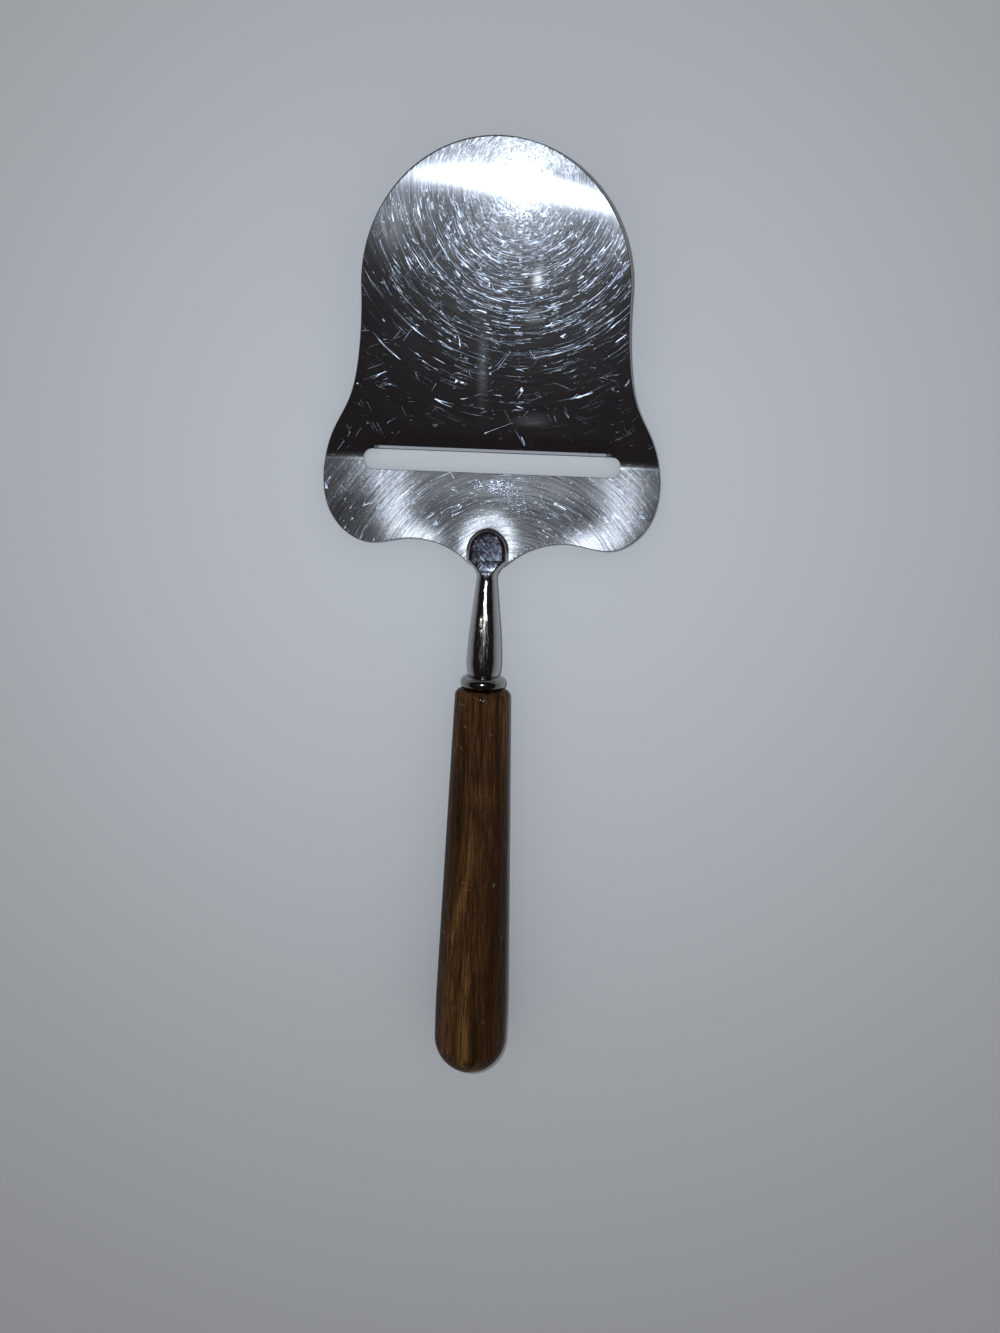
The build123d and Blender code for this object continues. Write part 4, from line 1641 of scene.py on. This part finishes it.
@dataclass
class Handle(SeatedPiece):
    """The turned and lacquered wooden handle with its blind bore."""

    node = "handle"
    slot = Slot.HANDLE
    shaft: Shaft
    finish: LacqueredWood = field(default_factory=LacqueredWood)
    length: float = 99.6 * MM
    front_diameter: float = 13.1 * MM
    face_diameter: float = 9.6 * MM
    shoulder: float = 1.9 * MM
    butt_diameter: float = 18.14 * MM
    swell_length: float = 8.4 * MM
    swell_radius: float = 350.0 * MM
    bore_radius: float = 3.0 * MM
    bore_depth: float = 48.0 * MM
    drill_point: float = 1.6 * MM
    streaks: tuple = (
        (((-0.6 * MM, -40.0 * MM), (-1.4 * MM, -52.0 * MM), (-3.0 * MM, -61.0 * MM),
          (-5.2 * MM, -71.0 * MM)), (0.6 * MM, 1.1 * MM), 1.0),
        (((-5.2 * MM, -74.0 * MM), (-5.0 * MM, -100.0 * MM)), (0.7 * MM, 1.1 * MM), 0.7),
        (((-0.6 * MM, -74.0 * MM), (-1.2 * MM, -96.0 * MM), (-1.0 * MM, -112.0 * MM)),
         (1.3 * MM, 2.0 * MM), 0.5))
    dark_spots: tuple = (
        ((3.0 * MM, -58 * MM), (3.5 * MM, 15 * MM), 0.45),
        ((-5.5 * MM, -66 * MM), (1.5 * MM, 7 * MM), 0.35))
    flank_ease: float = 8 * MM
    flank_shade: float = 0.45
    darkest: float = 0.8

    def outer_profile(self) -> Points:
        """Station and radius of the outside, from the front face's edge to the butt's pole.

        A quarter arc forms the shoulder, then come the taper, an arc of large radius that turns
        it level, a short straight stretch and the round butt.

        Returns:
            Rows of station behind the handle's face and radius.
        """
        face, front = self.face_diameter / 2, self.front_diameter / 2
        rise = front - face
        radius = (self.shoulder**2 + rise**2) / (2 * self.shoulder)
        swing = np.linspace(0.0, atan2(rise, radius - self.shoulder), 20)
        shoulder = np.stack([radius * (1 - np.cos(swing)), face + radius * np.sin(swing)], axis=1)
        butt = self.butt_diameter / 2
        corner = self.length - butt - self.swell_length
        angle = atan2(butt - front, corner - self.shoulder)
        reach = self.swell_radius * tan(angle / 2)
        taper_end = corner - reach * cos(angle)
        share = np.linspace(0.0, 1.0, 161)[1:]
        taper = np.stack([self.shoulder + share * (taper_end - self.shoulder),
                          front + share * (butt - reach * sin(angle) - front)], axis=1)
        station = np.linspace(taper_end, corner + reach, 40)[1:]
        swell = np.stack([station, butt - self.swell_radius
                          + np.sqrt(self.swell_radius**2 - (corner + reach - station)**2)], axis=1)
        turn = np.linspace(0.0, np.pi / 2, 40)
        end = np.stack([self.length - butt + butt * np.sin(turn), butt * np.cos(turn)], axis=1)
        return np.concatenate([shoulder, taper, swell, end])

    def build(self) -> bpy.types.Object:
        """Turns the outside and the bore, and keeps amber streaks and dark places on the points.

        A streak is a soft trail, the right flank is darkened as painted shade with the distance
        from the middle, and the dark spots are hills. Streaks stay free of the dark.

        Returns:
            The handle.
        """
        bore = np.array([(self.bore_depth + self.drill_point, 0.0),
                         (self.bore_depth, self.bore_radius), (0.0, self.bore_radius)])
        profile = np.concatenate([bore, self.outer_profile()])
        profile[:, 0] += self.shaft.ring_thickness
        wood = Patchwork()
        wood.add(self.shaft.turned(profile), close_columns=True)
        piece = wood.sew("wooden_handle")
        spots = places(piece)
        x, y = spots[:, 0], spots[:, 1]
        streak = sum(level * trail(x, y, line, widths) for line, widths, level in self.streaks)
        note(piece, "amber_streak", np.clip(streak, 0.0, 1.0))
        # Painted shade on the right flank, growing with the distance from the middle, plus dark
        # spots.
        flank = self.flank_shade * smooth(x / self.flank_ease) + hills(x, y, self.dark_spots)
        note(piece, "flank_shade_and_dark_spots", np.clip(flank * (1 - streak), 0.0, self.darkest))
        return piece


@dataclass
class TangAdhesive:
    """The glue round the tang: the CAD node is kept and gets its finish."""

    finish: CuredGlue = field(default_factory=CuredGlue)

    def dress(self) -> None:
        """Puts the glue's finish into the node's material slots."""
        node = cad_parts["tang_adhesive"]
        glue = self.finish.make()
        node.data.materials.clear()
        node.data.materials.append(glue)


@dataclass
class Studio:
    """Pale floor, one small lamp beside the lens, soft surroundings and the camera.

    The walls turn into the ceiling between wall_top and ceiling_edge, as sines of the height
    above the horizon.
    """

    floor_half: float = 3.0
    floor_tone: Colour = (0.436, 0.435, 0.432, 1.0)
    floor_rough: float = 0.9
    camera_place: tuple = (0.01137, 0.04585, 0.239)
    camera_right: tuple = (0.99849, 0.03750, -0.04004)
    camera_down: tuple = (0.04505, -0.97699, 0.20849)
    camera_ahead: tuple = (-0.03130, -0.20998, -0.97720)
    lens: float = 27.0
    sensor: float = 36.0
    nearest: float = 0.01
    lamp_size: float = 0.0035
    lamp_power: float = 0.42
    lamp_shift: tuple = (-0.0125, 0.005, 0.0)
    lamp_tone: tuple = (0.87, 0.96, 1.09)
    soft_tone: Colour = (0.95, 0.97, 1.0, 1.0)
    soft_strength: float = 0.45
    wall_tone: Colour = (0.29, 0.295, 0.30, 1.0)
    ceiling_tone: Colour = (0.017, 0.013, 0.013, 1.0)
    wall_top: float = 0.20
    ceiling_edge: float = 0.33

    def lay_floor(self) -> None:
        """Lays the floor just under the tool."""
        side = self.floor_half
        mesh = bpy.data.meshes.new("studio_floor")
        mesh.from_pydata([(-side, -side, 0.0), (side, -side, 0.0), (side, side, 0.0),
                          (-side, side, 0.0)], [], [(0, 1, 2, 3)])
        floor = enter("studio_floor", mesh)
        mix = Recipe("studio_floor")
        mix.set(Base_Color=self.floor_tone, Roughness=self.floor_rough)
        mesh.materials.append(mix.material)

    def hang_lamp(self) -> None:
        """Hangs the round lamp close to the camera, facing the same way."""
        light = bpy.data.lights.new("studio_lamp", "AREA")
        light.shape, light.size, light.energy = "DISK", self.lamp_size, self.lamp_power
        light.color = self.lamp_tone
        lamp = enter("studio_lamp", light)
        lamp.matrix_world = self.camera_pose()
        lamp.location = tuple(np.array(self.camera_place) + np.array(self.lamp_shift))

    def camera_pose(self) -> Matrix:
        """The camera's pose from its axes in the picture: right, down and ahead.

        Returns:
            The pose, with the camera's own up and back as the reverse of down and ahead.
        """
        columns = [self.camera_right, tuple(-c for c in self.camera_down),
                   tuple(-c for c in self.camera_ahead)]
        turn = Matrix(columns).transposed()
        return Matrix.LocRotScale(Vector(self.camera_place), turn.to_quaternion(), None)

    def set_camera(self) -> None:
        """Places the camera as the photograph was taken."""
        data = bpy.data.cameras.new("studio_camera")
        data.lens, data.sensor_width, data.sensor_fit = self.lens, self.sensor, "AUTO"
        data.clip_start = self.nearest
        camera = enter("studio_camera", data)
        camera.matrix_world = self.camera_pose()
        bpy.context.scene.camera = camera

    def light_world(self) -> None:
        """Lights the room softly.

        The camera, mirrors and clear things see pale walls and a dark ceiling instead.
        """
        world = bpy.data.worlds.new("studio_world")
        world.use_nodes = True
        tree = world.node_tree
        tree.nodes.clear()
        link = tree.links.new
        path = tree.nodes.new("ShaderNodeLightPath")
        seen = path.outputs["Is Camera Ray"]
        for ray in ("Is Glossy Ray", "Is Transmission Ray"):
            either = tree.nodes.new("ShaderNodeMath")
            either.operation = "MAXIMUM"
            link(seen, either.inputs[0])
            link(path.outputs[ray], either.inputs[1])
            seen = either.outputs[0]
        spot = tree.nodes.new("ShaderNodeTexCoord")
        split = tree.nodes.new("ShaderNodeSeparateXYZ")
        link(spot.outputs["Generated"], split.inputs[0])
        fall = tree.nodes.new("ShaderNodeValToRGB")
        link(split.outputs["Z"], fall.inputs[0])
        stops = fall.color_ramp.elements
        stops[0].position, stops[0].color = self.wall_top, self.wall_tone
        stops[1].position, stops[1].color = self.ceiling_edge, self.ceiling_tone
        seen_part = tree.nodes.new("ShaderNodeBackground")
        link(fall.outputs["Color"], seen_part.inputs["Color"])
        soft_part = tree.nodes.new("ShaderNodeBackground")
        soft_part.inputs["Color"].default_value = self.soft_tone
        soft_part.inputs["Strength"].default_value = self.soft_strength
        blend = tree.nodes.new("ShaderNodeMixShader")
        link(seen, blend.inputs[0])
        link(soft_part.outputs[0], blend.inputs[1])
        link(seen_part.outputs[0], blend.inputs[2])
        output = tree.nodes.new("ShaderNodeOutputWorld")
        link(blend.outputs[0], output.inputs["Surface"])
        bpy.context.scene.world = world

    def dress(self) -> None:
        """Sets up floor, lamp, world and camera."""
        self.lay_floor()
        self.hang_lamp()
        self.light_world()
        self.set_camera()
        bpy.context.scene.view_settings.view_transform = "Standard"


def main() -> None:
    """Builds the sub-assemblies in order and reports them."""
    logging.basicConfig(level=logging.INFO, format="%(name)s: %(message)s")
    blade, shaft = Blade(), Shaft()
    for part in (blade, Neck(blade, shaft), CollarRing(shaft), Handle(shaft), TangAdhesive(),
                 Studio()):
        part.dress()
        log.info("%s is done", type(part).__name__)


if __name__ == "__main__":
    main()
